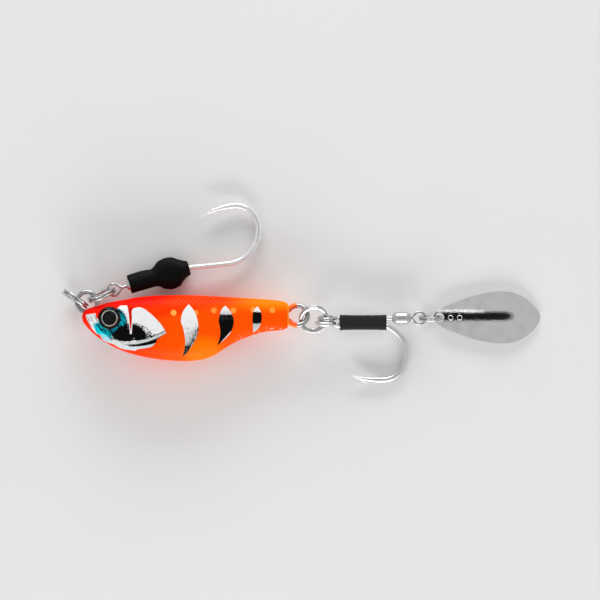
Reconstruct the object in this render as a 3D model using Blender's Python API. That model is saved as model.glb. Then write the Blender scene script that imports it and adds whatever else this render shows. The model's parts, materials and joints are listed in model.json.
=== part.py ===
"""Spin-tail metal jig: a cast fish body on a through-wire, with an assist hook at the nose and a
hook with a swivelled spinner blade at the tail.

The lure lies on its flank. X runs from nose to tail blade, Y from belly to back, Z up from the
surface it lies on. Sizes are in millimetres and degrees; MM turns them into metres.
"""

import math

import bmesh
import bpy
from mathutils import Matrix, Vector

MM = 0.001

# Where the lure's own datum (nose tip, axis of the tail eye, underside of the flank) lies, so that
# the origin is at the middle of the whole lure's footprint.
LURE_AT = (-51.202, -5.1785, 0.0)

# Cast body. Each row is (x, height or half thickness) along the body.
FLANK_Z = 4.5
DORSAL = [(0, -0.45), (0.12, 0.35), (0.5, 0.95), (1.3, 1.5), (3.6, 2.24), (5.7, 2.87), (9.5, 3.6),
          (13.6, 4.3), (17.8, 4.62), (24, 4.74), (30.2, 4.5), (36.6, 4.13), (42.1, 3.78),
          (46.3, 3.4), (47.7, 2.95), (48.3, 2.2)]
VENTRAL = [(0, -0.45), (0.12, -1.2), (0.42, -1.75), (1.56, -3.17), (3.2, -4.74), (5.3, -6.2),
           (8.4, -7.86), (11.5, -9.0), (15.7, -9.94), (19.9, -10.5), (24, -10.73), (27.8, -10.4),
           (30.7, -9.43), (32.6, -8.24), (34.9, -6.8), (37.3, -5.62), (40.2, -4.55),
           (43.3, -3.78), (46.9, -3.4), (47.9, -2.95), (48.3, -2.2)]
HALF_THICKNESS = [(0, 0.35), (0.12, 0.9), (0.42, 1.4), (1.56, 2.15), (3.2, 2.8), (5.3, 3.4),
                  (8.4, 4.0), (12, 4.5), (16, 4.8), (22, 4.9), (27, 4.65), (32, 4.0), (38, 3.2),
                  (44, 2.5), (47.3, 2.15), (48, 1.85), (48.3, 1.45)]
BODY_LENGTH = 48.3
BODY_STATIONS = 30
NOSE_START = 0.03
STATION_EASE = 0.65
BODY_SIDES = 28
SECTION_HEIGHT_POWER = 0.92
SECTION_WIDTH_POWER = 0.78

# Through-wire: one wire with an eye at each end, cast into the body.
WIRE_R = 0.57
WIRE_GAP = 0.06
WIRE_SIDES = 10
NOSE_EYE = (1.19, 3.1)
NOSE_EYE_R = 2.35
NOSE_LEG = [(3.58, 2.3), (3.6, 1.5)]
WIRE_RUN_Y = 0.75
WIRE_RUN_X = (30.0, 16.0)
TAIL_EYE = (50.26, 0.0)
TAIL_EYE_R = 2.39
TAIL_EYE_TILT = -17.0
TAIL_EYE_OPENING = 125.0
TAIL_TWIST_FROM, TAIL_TWIST_TO = 43.0, 47.5
TAIL_ENTRY = [(45.3, 0.88), (47.3, 1.25), (48.89, 1.958)]
TAIL_RETURN = [(48.89, -1.958), (47.6, -1.35), (46.4, -1.1)]

# Moulded eyes, one on each flank.
EYE_AT = (7.2, -0.63)
EYE_R = 2.5
EYE_FIT = 0.06
EYE_TILT = 10.5
EYE_SEAT = 2.95
EYE_DISC = 0.3
EYE_DOME = 0.85
EYE_DOME_RIM = 0.15
EYE_DOME_GAP = 0.03
EYE_BORE = 3.0
EYE_SIDES = 24

# Split rings: outer diameter, radial width of the wire, height of one coil.
COIL_GAP = 0.08
LARGE_RING = (7.0, 0.92, 0.55)
BLADE_RING = (5.8, 0.7, 0.45)
HOOK_RING = (5.3, 0.6, 0.4)
RING_STEP = 15.0
RING_JOG_FROM, RING_JOG_TO, RING_END = 300.0, 352.0, 652.0

# Swivels.
BARREL_LENGTH = 4.4
BARREL_PROFILE = [(0, 0.5), (0, 0.8), (0.3, 1.05), (0.9, 1.4), (1.1, 1.45), (3.3, 1.45), (3.5, 1.4),
                  (4.1, 1.05), (4.4, 0.8), (4.4, 0.5), (3.7, 0.5), (3.7, 1.05), (0.7, 1.05),
                  (0.7, 0.5)]
BARREL_SIDES = 20
SHANK_R = 0.4
HEAD_R = 0.8
HEAD_LENGTH = 0.45
HEAD_SEAT = 0.85
EYE_WIRE_R = 0.26
SWIVEL_EYE_R = 1.42
REAR_EYE_R = 1.15
EYE_OPENING = 28.0
NECK_LENGTH = 0.55
STEP = 0.01

# Assist hook assembly, along its own swivel axis, measured from the centre of the front eye.
ASSIST_BARREL_X = 3.1
REAR_EYE_X = 11.1
HOOK_RING_X = 13.9
ASSIST_HOOK_EYE_X = 16.3
# Each row of the tube is x, its reach above and below the axis, and its half thickness.
TUBE_WALL = 0.38
TUBE = [(3.8, 2.4, 2.0, 2.2), (6.8, 2.5, 2.0, 2.2), (8.6, 2.4, 1.97, 2.1), (9.6, 2.25, 2.0, 2.05),
        (10.4, 2.6, 2.2, 2.05), (11.7, 3.55, 3.2, 2.2), (13.5, 3.85, 3.7, 2.35),
        (15.0, 3.6, 3.5, 2.45), (16.5, 2.65, 2.4, 2.5), (17.4, 2.1, 1.9, 2.3),
        (18.3, 1.75, 1.6, 1.8)]
TUBE_STATIONS = 16
TUBE_SIDES = 20

# Hooks: a ring eye across the bend's plane, then the shank, bend and point as (x, y).
HOOK_R = 0.62
ASSIST_HOOK_EYE_R, TAIL_HOOK_EYE_R = 1.3, 1.75
HOOK_SIDES = 10
ASSIST_BEND = [(18.9, 0.0), (21.5, -0.5), (25, -1.12), (29, -1.7), (32.2, -0.97), (34.8, 0.98),
               (36.4, 3.7), (36.75, 6.5), (35.85, 8.9), (33.5, 10.8), (31.1, 11.3), (28.8, 11.4),
               (26.9, 11.3), (24.2, 10.8)]
TAIL_BEND = [(1.75, -1.5), (3.0, -1.83), (6.0, -1.83), (10.0, -1.83), (13.9, -1.88),
             (15.25, -2.66), (16.8, -3.95), (17.9, -5.5), (18.6, -9.0), (17.6, -12.5),
             (16.1, -13.9), (14.3, -14.6), (11.9, -14.7), (9.6, -14.5), (7.1, -14.0), (5.2, -13.3)]
TAIL_HOOK_EYE = (-0.55, -1.15)
HOOK_EYE_FROM, HOOK_EYE_TO = -38, -345
FORGED_FROM, FORGED_TO, FORGED_EASE = 0.3, 0.95, 0.2
FORGED_WIDER, FORGED_THINNER = 0.15, 0.08
POINT_TAPER, POINT_LOSS, POINT_POWER = 0.8, 0.93, 1.6
BARB_AT, BARB_ROOT = 0.9, 0.4
BARB_LENGTH, BARB_HEIGHT, BARB_HALF_WIDTH = 1.5, 0.85, 0.28

# Rod that carries the blade's swivel, bound to the tail hook's shank by a sleeve.
ROD_R = 0.43
ROD_EYE_WIRE_R = 0.47
ROD_EYE_X = -0.25
ROD_EYE_R = 1.6
ROD_EYE_FROM, ROD_EYE_TO = -35, -345
ROD_RUN = (2.2, 3.2, 9.0)
SLEEVE_FROM, SLEEVE_TO = 2.9, 13.8
SHANK_DROP = 1.83
SLEEVE_WALL = 0.28
SLEEVE_FIT = 0.1
SLEEVE_SIDES = 24
TAIL_BARREL_X = 15.2
BLADE_EYE_X = 21.6

# Spinner blade, from its hole: (x, half width). Its rim is flat, and every cross-section is the
# same parabola, which falls by BLADE_CUP times the square of the distance from the middle.
BLADE_OUTLINE = [(-1.28, 0), (-1.2, 0.6), (-0.75, 1.25), (0.42, 2.05), (1.85, 2.75), (4.46, 3.8),
                 (7.8, 4.95), (11.2, 5.75), (14.9, 6.1), (17.3, 5.85), (19.3, 5.05), (21.2, 3.75),
                 (22.55, 2.35), (23.3, 1.25), (23.69, 0)]
BLADE_CUP = 0.04
BLADE_THICKNESS = 0.4
BLADE_HOLE_R = 1.1
BLADE_STATIONS, BLADE_COLUMNS = 22, 10
BLADE_END_WIDTH, BLADE_END_EASE = 0.25, 0.35

# How the pieces hang together at rest: place, then turn about X, Y and Z.
LINE_RING_AT, LINE_RING_TURN = (-2.72, 0.72, -0.5), (86, 0, -33)
ASSIST_RING_AT, ASSIST_RING_TURN = (3.41, 1.7, -0.5), (98, 0, 22)
ASSIST_EYE_TURN = (0, 4.5, 16.2)
TAIL_RING_AT, TAIL_RING_TURN, TAIL_RING_SPIN = (3.84, -0.9, -0.05), (28, 5, 0), 250
TAIL_HOOK_AT, TAIL_HOOK_TURN = (57.3, -0.68, 4.1), (9, 4.5, 0)
BLADE_RING_AT, BLADE_RING_TURN = (2.68, 0, 0.58), (90, 0, 0)
BLADE_RING_LEAN, BLADE_RING_SPIN = 6.0, 60.0
BLADE_HOLE_ANGLE = -38.0
BLADE_PITCH = 2.1

SHARP_ANGLE = math.radians(40)


def material(name, colour, roughness, metallic):
    made = bpy.data.materials.new(name)
    made.use_nodes = True
    shader = made.node_tree.nodes["Principled BSDF"]
    shader.inputs["Base Color"].default_value = (*colour, 1)
    shader.inputs["Roughness"].default_value = roughness
    shader.inputs["Metallic"].default_value = metallic
    made.diffuse_color = (*colour, 1)
    return made


def frame(name, parent, place, turn=(0, 0, 0)):
    """An empty at a place in millimetres, turned by degrees about X, Y and Z."""
    made = bpy.data.objects.new(name, None)
    bpy.context.scene.collection.objects.link(made)
    made.empty_display_size = 2 * MM
    made.parent = parent
    made.location = [MM * v for v in place]
    made.rotation_euler = [math.radians(v) for v in turn]
    return made


def piece(name, shape, parent, finish, place=(0, 0, 0), turn=(0, 0, 0)):
    """One named part from a bmesh drawn in millimetres."""
    bmesh.ops.recalc_face_normals(shape, faces=shape.faces)
    bmesh.ops.scale(shape, vec=(MM, MM, MM), verts=shape.verts)
    mesh = bpy.data.meshes.new(name)
    shape.to_mesh(mesh)
    shape.free()
    mesh.shade_smooth()
    mesh.set_sharp_from_angle(angle=SHARP_ANGLE)
    made = bpy.data.objects.new(name, mesh)
    bpy.context.scene.collection.objects.link(made)
    made.data.materials.append(finish)
    made.parent = parent
    made.location = [MM * v for v in place]
    made.rotation_euler = [math.radians(v) for v in turn]
    return made


def boolean(target, tool, operation):
    """Cuts or joins another object into the target and hides that object."""
    tool.hide_render = True
    tool.display_type = "WIRE"
    change = target.modifiers.new(tool.name, "BOOLEAN")
    change.operation = operation
    change.object = tool


def loft(loops, closed=False, caps=True):
    """A closed skin over loops of points, each with the same number of points."""
    shape = bmesh.new()
    rings = [[shape.verts.new(point) for point in loop] for loop in loops]
    count = len(rings[0])
    pairs = list(zip(rings, rings[1:]))
    if closed:
        pairs.append((rings[-1], rings[0]))
    for here, there in pairs:
        for k in range(count):
            after = (k + 1) % count
            shape.faces.new((here[k], here[after], there[after], there[k]))
    if caps and not closed:
        shape.faces.new(rings[0])
        shape.faces.new(rings[-1])
    return shape


def interpolate(rows, x):
    """Value at x on a smooth curve through (x, value) rows, with no overshoot between them."""
    for k in range(len(rows) - 1):
        if x <= rows[k + 1][0] or k == len(rows) - 2:
            break
    slopes = [(b[1] - a[1]) / (b[0] - a[0]) for a, b in zip(rows, rows[1:])]

    def tangent(j):
        if j == 0 or j == len(rows) - 1:
            return slopes[min(j, len(slopes) - 1)]
        before, after = slopes[j - 1], slopes[j]
        return 0 if before * after <= 0 else 2 * before * after / (before + after)

    (x0, y0), (x1, y1) = rows[k], rows[k + 1]
    span = x1 - x0
    t = min(1, max(0, (x - x0) / span))
    return (y0 * (2 * t**3 - 3 * t**2 + 1) + y1 * (3 * t**2 - 2 * t**3)
            + span * tangent(k) * (t**3 - 2 * t**2 + t) + span * tangent(k + 1) * (t**3 - t**2))


def smooth_path(points, per_span=4):
    """Points on a centripetal Catmull-Rom curve through the given ones."""
    points = [Vector(p) for p in points]
    ends = [2 * points[0] - points[1], *points, 2 * points[-1] - points[-2]]
    path = []
    for p0, p1, p2, p3 in zip(ends, ends[1:], ends[2:], ends[3:]):
        t1 = (p1 - p0).length ** 0.5
        t2 = t1 + (p2 - p1).length ** 0.5
        t3 = t2 + (p3 - p2).length ** 0.5
        for step in range(per_span):
            t = t1 + (t2 - t1) * step / per_span
            a1 = p0.lerp(p1, t / t1)
            a2 = p1.lerp(p2, (t - t1) / (t2 - t1))
            a3 = p2.lerp(p3, (t - t2) / (t3 - t2))
            b1 = a1.lerp(a2, t / t2)
            b2 = a2.lerp(a3, (t - t1) / (t3 - t1))
            path.append(b1.lerp(b2, (t - t1) / (t2 - t1)))
    path.append(points[-1])
    return path


def arc(centre, radius, start, end, steps, axes=((1, 0, 0), (0, 1, 0))):
    """Points along an arc in degrees, in the plane of the two axes."""
    centre, across, along = Vector(centre), Vector(axes[0]), Vector(axes[1])
    turns = [math.radians(start + (end - start) * k / steps) for k in range(steps + 1)]
    return [centre + radius * (math.cos(t) * across + math.sin(t) * along) for t in turns]


def wire(path, radii, sides, side_axis=(0, 1, 0)):
    """A wire along a path. Each radius is a number, or a pair: in the bend's plane, then across it."""
    tangents = [(b - a).normalized() for a, b in zip(path, path[1:])]
    tangents = [tangents[0], *[(a + b).normalized() for a, b in zip(tangents, tangents[1:])],
                tangents[-1]]
    normal, loops = Vector(side_axis), []
    for point, tangent, radius in zip(path, tangents, radii):
        normal = (normal - normal.dot(tangent) * tangent).normalized()
        other = tangent.cross(normal)
        wide, thick = radius if isinstance(radius, tuple) else (radius, radius)
        turns = [2 * math.pi * (k + 0.5) / sides for k in range(sides)]
        loops.append([point + wide * math.cos(t) * normal + thick * math.sin(t) * other
                      for t in turns])
    return loft(loops)


def turned(profile, sides):
    """A solid turned about X from a closed (x, radius) outline that stays off the axis."""
    turns = [2 * math.pi * k / sides for k in range(sides)]
    return loft([[(x, r * math.cos(t), r * math.sin(t)) for x, r in profile] for t in turns],
                closed=True)


def split_ring(size):
    """A ring of flattened wire that laps itself: one coil, a jog, then the second coil."""
    outer, width, coil = size
    radius, rise = (outer - width) / 2, coil + COIL_GAP
    loops, turn = [], 0.0
    while turn <= RING_END:
        share = min(1, max(0, (turn - RING_JOG_FROM) / (RING_JOG_TO - RING_JOG_FROM)))
        height = rise * (share * share * (3 - 2 * share) - 0.5)
        angle = math.radians(turn)
        out = Vector((math.cos(angle), math.sin(angle), 0))
        loops.append([(radius + w * width / 2) * out + Vector((0, 0, height + h * coil / 2))
                      for w, h in ((-1, -1), (1, -1), (1, 1), (-1, 1))])
        turn += RING_STEP if share in (0, 1) else RING_STEP / 2
    return loft(loops)


def ring_radius(size):
    return (size[0] - size[1]) / 2


def body_section(x):
    """The cast body's cross-section at x, flattened on the flanks that it lies on."""
    top, bottom, half = (interpolate(rows, x) for rows in (DORSAL, VENTRAL, HALF_THICKNESS))
    middle, height = (top + bottom) / 2, (top - bottom) / 2
    loop = []
    for k in range(BODY_SIDES):
        turn = 2 * math.pi * (k + 0.5) / BODY_SIDES
        up, out = math.sin(turn), math.cos(turn)
        y = middle + height * math.copysign(abs(up) ** SECTION_HEIGHT_POWER, up)
        z = half * math.copysign(abs(out) ** SECTION_WIDTH_POWER, out)
        loop.append((x, y, min(FLANK_Z, max(-FLANK_Z, z))))
    return loop


def body_stations():
    """Stations along the body, close together at the nose and at the tail's rounded end."""
    shares = [k / BODY_STATIONS for k in range(BODY_STATIONS + 1)]
    eased = [(1 - math.cos(math.pi * s)) / 2 * STATION_EASE + s * (1 - STATION_EASE)
             for s in shares]
    return [NOSE_START + (BODY_LENGTH - NOSE_START) * s for s in eased]


def through_wire_path():
    """Nose eye, straight run through the casting, tail eye. The tail eye is twisted a little."""
    nose = arc((*NOSE_EYE, 0), NOSE_EYE_R, -90, -360, 18)
    leg = [Vector((x, y, 0)) for x, y in NOSE_LEG]
    run = [Vector((x, WIRE_RUN_Y, 0)) for x in reversed((TAIL_TWIST_FROM, *WIRE_RUN_X))]
    rows = [(TAIL_TWIST_FROM, WIRE_RUN_Y), *TAIL_ENTRY]
    enter = smooth_path([(x, y, 0) for x, y in rows], 3)
    tail = arc((*TAIL_EYE, 0), TAIL_EYE_R, TAIL_EYE_OPENING, -TAIL_EYE_OPENING, 16)
    leave = smooth_path([(x, y, 0) for x, y in TAIL_RETURN], 2)
    path = [*reversed(leg), *reversed(nose), *run, *enter[1:-1], *tail, *leave[1:]]
    for point in path:
        share = min(1, max(0, (point.x - TAIL_TWIST_FROM) / (TAIL_TWIST_TO - TAIL_TWIST_FROM)))
        tilt = math.radians(TAIL_EYE_TILT) * share
        point.yz = point.y * math.cos(tilt), point.y * math.sin(tilt)
    return path


def swivel_eye(radius, seat_x, facing, eye_centre_x, axes):
    """An eye whose wire runs down a neck into a barrel, where an upset head holds it.

    facing is 1 where the barrel lies further along X than the eye, and -1 where it lies before it.
    """
    start = 180 - EYE_OPENING if facing > 0 else -EYE_OPENING
    loop = arc((eye_centre_x, 0, 0), radius, start - 180, start - 180 - 360 + 2 * EYE_OPENING, 20,
               axes)
    neck = eye_centre_x + facing * (radius + NECK_LENGTH)
    head = seat_x + facing * HEAD_SEAT
    shank = [Vector((x, 0, 0)) for x in (neck, head, head + facing * STEP,
                                         head + facing * (HEAD_LENGTH - STEP))]
    path = [*loop, *shank]
    radii = [EYE_WIRE_R] * len(loop) + [SHANK_R, SHANK_R, HEAD_R, HEAD_R]
    normal = Vector(axes[0]).cross(Vector(axes[1]))
    return wire(path, radii, 8, normal)


def hook_shape(eye_centre, eye_r, bend):
    """A single hook in one wire: the eye stands across the bend's plane."""
    eye = arc((*eye_centre, 0), eye_r, HOOK_EYE_FROM, HOOK_EYE_TO, 16, ((1, 0, 0), (0, 0, 1)))
    curve = smooth_path([(x, y, 0) for x, y in bend], 3)
    path = [*eye, *curve]
    along = [0.0]
    for a, b in zip(curve, curve[1:]):
        along.append(along[-1] + (b - a).length)
    radii = [HOOK_R] * len(eye)
    for distance in along:
        share = distance / along[-1]
        forged = (min(1, max(0, (share - FORGED_FROM) / FORGED_EASE))
                  * min(1, max(0, (FORGED_TO - share) / FORGED_EASE)))
        worn = max(0, (share - POINT_TAPER) / (1 - POINT_TAPER)) ** POINT_POWER
        taper = 1 - worn * POINT_LOSS
        radii.append((HOOK_R * (1 + FORGED_WIDER * forged) * taper,
                      HOOK_R * (1 - FORGED_THINNER * forged) * taper))
    return path, radii, along


def barb(path):
    """A sliver raised from the inside of the point, leaning back towards the bend."""
    count = len(path)
    root = path[round(BARB_AT * (count - 1))]
    ahead = (path[round(BARB_AT * (count - 1)) + 1] - root).normalized()
    inward = Vector((-ahead.y, ahead.x, 0))
    tip = root - ahead * BARB_LENGTH + inward * BARB_HEIGHT
    across = Vector((0, 0, BARB_HALF_WIDTH))
    front, back = root + ahead * BARB_ROOT, root - ahead * BARB_LENGTH / 2
    shape = bmesh.new()
    corners = [shape.verts.new(p) for p in (front - across, front + across, back + across,
                                            back - across, tip)]
    shape.faces.new(corners[:4])
    for k in range(4):
        shape.faces.new((corners[k], corners[(k + 1) % 4], corners[4]))
    return shape


def hull_outline(upper, lower):
    """Outline stretched round two circles: the rod's at y = 0 and the shank's below it."""
    points = []
    for k in range(SLEEVE_SIDES):
        turn = 2 * math.pi * (k + 0.5) / SLEEVE_SIDES
        on_rod = math.sin(turn) > (lower - upper) / SHANK_DROP
        middle, radius = (0, upper) if on_rod else (-SHANK_DROP, lower)
        points.append((middle + radius * math.sin(turn), radius * math.cos(turn)))
    return points


def tube_between(outer, inner):
    """A tube closed at its ends from matching outer and inner loops."""
    return loft([*outer, *reversed(inner)], closed=True)


def oval(x, above, below, half_z, sides):
    """A loop across X that reaches above and below the axis by its own amounts."""
    turns = [2 * math.pi * k / sides for k in range(sides)]
    return [(x, (above if math.cos(t) > 0 else below) * math.cos(t), half_z * math.sin(t))
            for t in turns]


def blade_dome(x, y):
    """Height of the blade's domed outer side."""
    return BLADE_CUP * (interpolate(BLADE_OUTLINE, x) ** 2 - y**2)


def blade_shape():
    """The blade's domed plate between its outline's two edges, with its hole at the origin."""
    first, last = BLADE_OUTLINE[0][0], BLADE_OUTLINE[-1][0]
    level = blade_dome(0, 0) - BLADE_THICKNESS / 2
    ease = BLADE_END_EASE
    shares = [(1 - math.cos(math.pi * (k + ease) / (BLADE_STATIONS + 2 * ease))) / 2
              for k in range(BLADE_STATIONS + 1)]
    loops = []
    for share in shares:
        x = first + (last - first) * share
        half = max(BLADE_END_WIDTH, interpolate(BLADE_OUTLINE, x))
        across = [half * (2 * k / BLADE_COLUMNS - 1) for k in range(BLADE_COLUMNS + 1)]
        upper = [(x, y, blade_dome(x, y) - level) for y in across]
        under = [(x, y, z - BLADE_THICKNESS) for x, y, z in reversed(upper)]
        loops.append(upper + under)
    return loft(loops)


def build_body(root, finishes):
    casting = piece("jig_body", loft([body_section(x) for x in body_stations()]), root,
                    finishes["paint"], (0, 0, FLANK_Z))
    path = through_wire_path()
    longer = [path[0] + (path[0] - path[1]).normalized() * WIRE_GAP, *path[1:-1],
              path[-1] + (path[-1] - path[-2]).normalized() * WIRE_GAP]
    channel = piece("wire_channel", wire(longer, [WIRE_R + WIRE_GAP] * len(path), WIRE_SIDES,
                                         (0, 0, 1)), root, finishes["steel"], (0, 0, FLANK_Z))
    boolean(casting, channel, "DIFFERENCE")
    piece("through_wire", wire(path, [WIRE_R] * len(path), WIRE_SIDES, (0, 0, 1)), root,
          finishes["steel"], (0, 0, FLANK_Z))
    for name, side in (("left", 1), ("right", -1)):
        build_eye(name, side, root, casting, finishes)


def build_eye(name, side, root, casting, finishes):
    """A printed disc under a clear dome, in a round seat in the flank."""
    seat = frame(f"{name}_eye_seat", root, (*EYE_AT, FLANK_Z),
                 (0 if side > 0 else 180, -side * EYE_TILT, 0))
    bore = bmesh.new()
    bmesh.ops.create_cone(bore, segments=EYE_SIDES, radius1=EYE_R + EYE_FIT,
                          radius2=EYE_R + EYE_FIT, depth=EYE_BORE, cap_ends=True,
                          matrix=Matrix.Translation((0, 0, EYE_SEAT + EYE_BORE / 2 - EYE_FIT)))
    boolean(casting, piece(f"{name}_eye_bore", bore, seat, finishes["paint"]), "DIFFERENCE")
    disc = bmesh.new()
    bmesh.ops.create_cone(disc, segments=EYE_SIDES, radius1=EYE_R, radius2=EYE_R, depth=EYE_DISC,
                          cap_ends=True,
                          matrix=Matrix.Translation((0, 0, EYE_SEAT + EYE_DISC / 2)))
    piece(f"{name}_eye_disc", disc, seat, finishes["iris"])
    start = EYE_SEAT + EYE_DISC + EYE_DOME_GAP
    rims = [(EYE_R, 0), (EYE_R, EYE_DOME_RIM)]
    rims += [(EYE_R * math.cos(t), EYE_DOME_RIM + (EYE_DOME - EYE_DOME_RIM) * math.sin(t))
             for t in (math.radians(a) for a in (20, 40, 58, 74, 85))]
    turns = [2 * math.pi * k / EYE_SIDES for k in range(EYE_SIDES)]
    loops = [[(r * math.cos(t), r * math.sin(t), start + z) for t in turns] for r, z in rims]
    piece(f"{name}_eye_dome", loft(loops), seat, finishes["resin"])


def build_nose_rig(root, finishes):
    """Line ring and assist ring in the nose eye, then the assist hook on its swivel."""
    nose = (*NOSE_EYE, FLANK_Z)
    line_joint = frame("line_ring_joint", root, nose)
    piece("line_split_ring", split_ring(LARGE_RING), line_joint, finishes["steel"], LINE_RING_AT,
          LINE_RING_TURN)
    assist_joint = frame("assist_ring_joint", root, nose)
    piece("assist_split_ring", split_ring(LARGE_RING), assist_joint, finishes["steel"],
          ASSIST_RING_AT, ASSIST_RING_TURN)
    heading = math.radians(ASSIST_RING_TURN[2])
    reach = ring_radius(LARGE_RING)
    hang = (ASSIST_RING_AT[0] + reach * math.cos(heading),
            ASSIST_RING_AT[1] + reach * math.sin(heading), ASSIST_RING_AT[2])
    eye_joint = frame("assist_eye_joint", assist_joint, hang, ASSIST_EYE_TURN)
    piece("assist_swivel_eye", swivel_eye(SWIVEL_EYE_R, ASSIST_BARREL_X, 1, 0,
                                          ((1, 0, 0), (0, 1, 0))), eye_joint, finishes["steel"])
    unit = frame("assist_hook_joint", eye_joint, (0, 0, 0))
    piece("assist_swivel_barrel", turned(BARREL_PROFILE, BARREL_SIDES), unit, finishes["steel"],
          (ASSIST_BARREL_X, 0, 0))
    piece("assist_rear_eye", swivel_eye(REAR_EYE_R, ASSIST_BARREL_X + BARREL_LENGTH, -1, REAR_EYE_X,
                                        ((1, 0, 0), (0, 0, 1))), unit, finishes["steel"])
    piece("assist_hook_ring", split_ring(HOOK_RING), unit, finishes["steel"], (HOOK_RING_X, 0, 0))
    build_hook("assist_hook", (ASSIST_HOOK_EYE_X, 0), ASSIST_HOOK_EYE_R, ASSIST_BEND, unit, finishes)
    piece("assist_tube", tube_between(*tube_walls()), unit, finishes["rubber"])


def tube_walls():
    """Outer and inner loops of the assist tube."""
    first, last = TUBE[0][0], TUBE[-1][0]
    above, below, thick = ([(row[0], row[k]) for row in TUBE] for k in (1, 2, 3))
    outer, inner = [], []
    for k in range(TUBE_STATIONS + 1):
        x = first + (last - first) * k / TUBE_STATIONS
        sizes = [interpolate(rows, x) for rows in (above, below, thick)]
        outer.append(oval(x, *sizes, TUBE_SIDES))
        inner.append(oval(x, *[size - TUBE_WALL for size in sizes], TUBE_SIDES))
    return outer, inner


def build_hook(name, eye_centre, eye_r, bend, parent, finishes):
    path, radii, along = hook_shape(eye_centre, eye_r, bend)
    hook = piece(name, wire(path, radii, HOOK_SIDES), parent, finishes["hook"])
    curve = path[len(path) - len(along):]
    sliver = piece(f"{name}_barb", barb(curve), parent, finishes["hook"])
    boolean(hook, sliver, "UNION")


def build_tail_rig(root, finishes):
    """Tail ring, hook and rod in their sleeve, swivel, blade ring and blade."""
    tail_joint = frame("tail_ring_joint", root, (*TAIL_EYE, FLANK_Z), (TAIL_EYE_TILT, 0, 0))
    level = frame("tail_ring_level", tail_joint, (0, 0, 0), (-TAIL_EYE_TILT, 0, 0))
    ring = frame("tail_ring", level, TAIL_RING_AT, TAIL_RING_TURN)
    piece("tail_split_ring", split_ring(LARGE_RING), ring, finishes["steel"],
          turn=(0, 0, TAIL_RING_SPIN))

    unit = frame("tail_hook_joint", root, TAIL_HOOK_AT, TAIL_HOOK_TURN)
    build_hook("tail_hook", TAIL_HOOK_EYE, TAIL_HOOK_EYE_R, TAIL_BEND, unit, finishes)
    eye = arc((ROD_EYE_X, 0, 0), ROD_EYE_R, ROD_EYE_FROM, ROD_EYE_TO, 16,
              ((1, 0, 0), (0, 0, 1)))
    head = TAIL_BARREL_X + HEAD_SEAT
    shaft = [Vector((x, 0, 0)) for x in (*ROD_RUN, head, head + STEP, head + HEAD_LENGTH)]
    radii = [ROD_EYE_WIRE_R] * (len(eye) + 1) + [ROD_R] * 3 + [HEAD_R] * 2
    piece("spin_rod", wire([*eye, *shaft], radii, WIRE_SIDES), unit, finishes["steel"])
    build_sleeve(unit, finishes)

    barrel_joint = frame("blade_barrel_joint", unit, (TAIL_BARREL_X, 0, 0))
    piece("blade_swivel_barrel", turned(BARREL_PROFILE, BARREL_SIDES), barrel_joint,
          finishes["steel"])
    eye_joint = frame("blade_eye_joint", unit, (BLADE_EYE_X, 0, 0),
                      (-TAIL_HOOK_TURN[0], 0, 0))
    seat = TAIL_BARREL_X + BARREL_LENGTH - BLADE_EYE_X
    piece("blade_swivel_eye", swivel_eye(SWIVEL_EYE_R, seat, -1, 0, ((1, 0, 0), (0, 1, 0))),
          eye_joint, finishes["steel"])
    ring_joint = frame("blade_ring_joint", eye_joint, (0, 0, 0))
    level = (0, -TAIL_HOOK_TURN[1], 0)
    ring_frame = frame("blade_ring_level", ring_joint, (0, 0, 0), level)
    blade_joint = frame("blade_joint", ring_frame, BLADE_RING_AT, BLADE_RING_TURN)
    lean = frame("blade_ring_lean", blade_joint, (0, 0, 0), (BLADE_RING_LEAN, 0, 0))
    piece("blade_split_ring", split_ring(BLADE_RING), lean, finishes["steel"],
          turn=(0, 0, BLADE_RING_SPIN))
    build_blade(blade_joint, finishes)


def build_sleeve(unit, finishes):
    """A shrunk tube round the rod and the hook's shank."""
    walls = []
    for rod, shank in ((SLEEVE_FIT + SLEEVE_WALL,) * 2, (SLEEVE_FIT,) * 2):
        outline = hull_outline(ROD_R + rod, HOOK_R + shank)
        walls.append([[(x, y, z) for y, z in outline]
                      for x in (SLEEVE_FROM, (SLEEVE_FROM + SLEEVE_TO) / 2, SLEEVE_TO)])
    piece("tail_sleeve", tube_between(*walls), unit, finishes["rubber"])


def build_blade(blade_joint, finishes):
    reach = Vector((ring_radius(BLADE_RING), 0, 0))
    reach.rotate(Matrix.Rotation(math.radians(BLADE_HOLE_ANGLE), 3, "Z"))
    reach.rotate(Matrix.Rotation(math.radians(BLADE_RING_LEAN), 3, "X"))
    hole = frame("blade_hole", blade_joint, reach, (-90, 0, -BLADE_PITCH))
    blade = piece("spinner_blade", blade_shape(), hole, finishes["blade"])
    bore = bmesh.new()
    bmesh.ops.create_cone(bore, segments=20, radius1=BLADE_HOLE_R, radius2=BLADE_HOLE_R, depth=6,
                          cap_ends=True)
    boolean(blade, piece("blade_hole_bore", bore, hole, finishes["blade"]), "DIFFERENCE")


def build():
    for old in list(bpy.data.objects):
        bpy.data.objects.remove(old)
    finishes = {
        "paint": material("orange_paint", (0.9, 0.12, 0.01), 0.2, 0.0),
        "steel": material("stainless_wire", (0.5, 0.5, 0.5), 0.25, 1.0),
        "hook": material("tinned_hook", (0.75, 0.75, 0.76), 0.3, 1.0),
        "rubber": material("black_rubber", (0.01, 0.01, 0.01), 0.5, 0.0),
        "iris": material("printed_iris", (0.02, 0.012, 0.01), 0.3, 0.3),
        "resin": material("clear_resin", (0.9, 0.9, 0.9), 0.05, 0.0),
        "blade": material("nickel_blade", (0.75, 0.75, 0.75), 0.15, 1.0),
    }
    root = frame("lure", None, LURE_AT)
    build_body(root, finishes)
    build_nose_rig(root, finishes)
    build_tail_rig(root, finishes)
    bpy.context.view_layer.update()


build()
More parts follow.
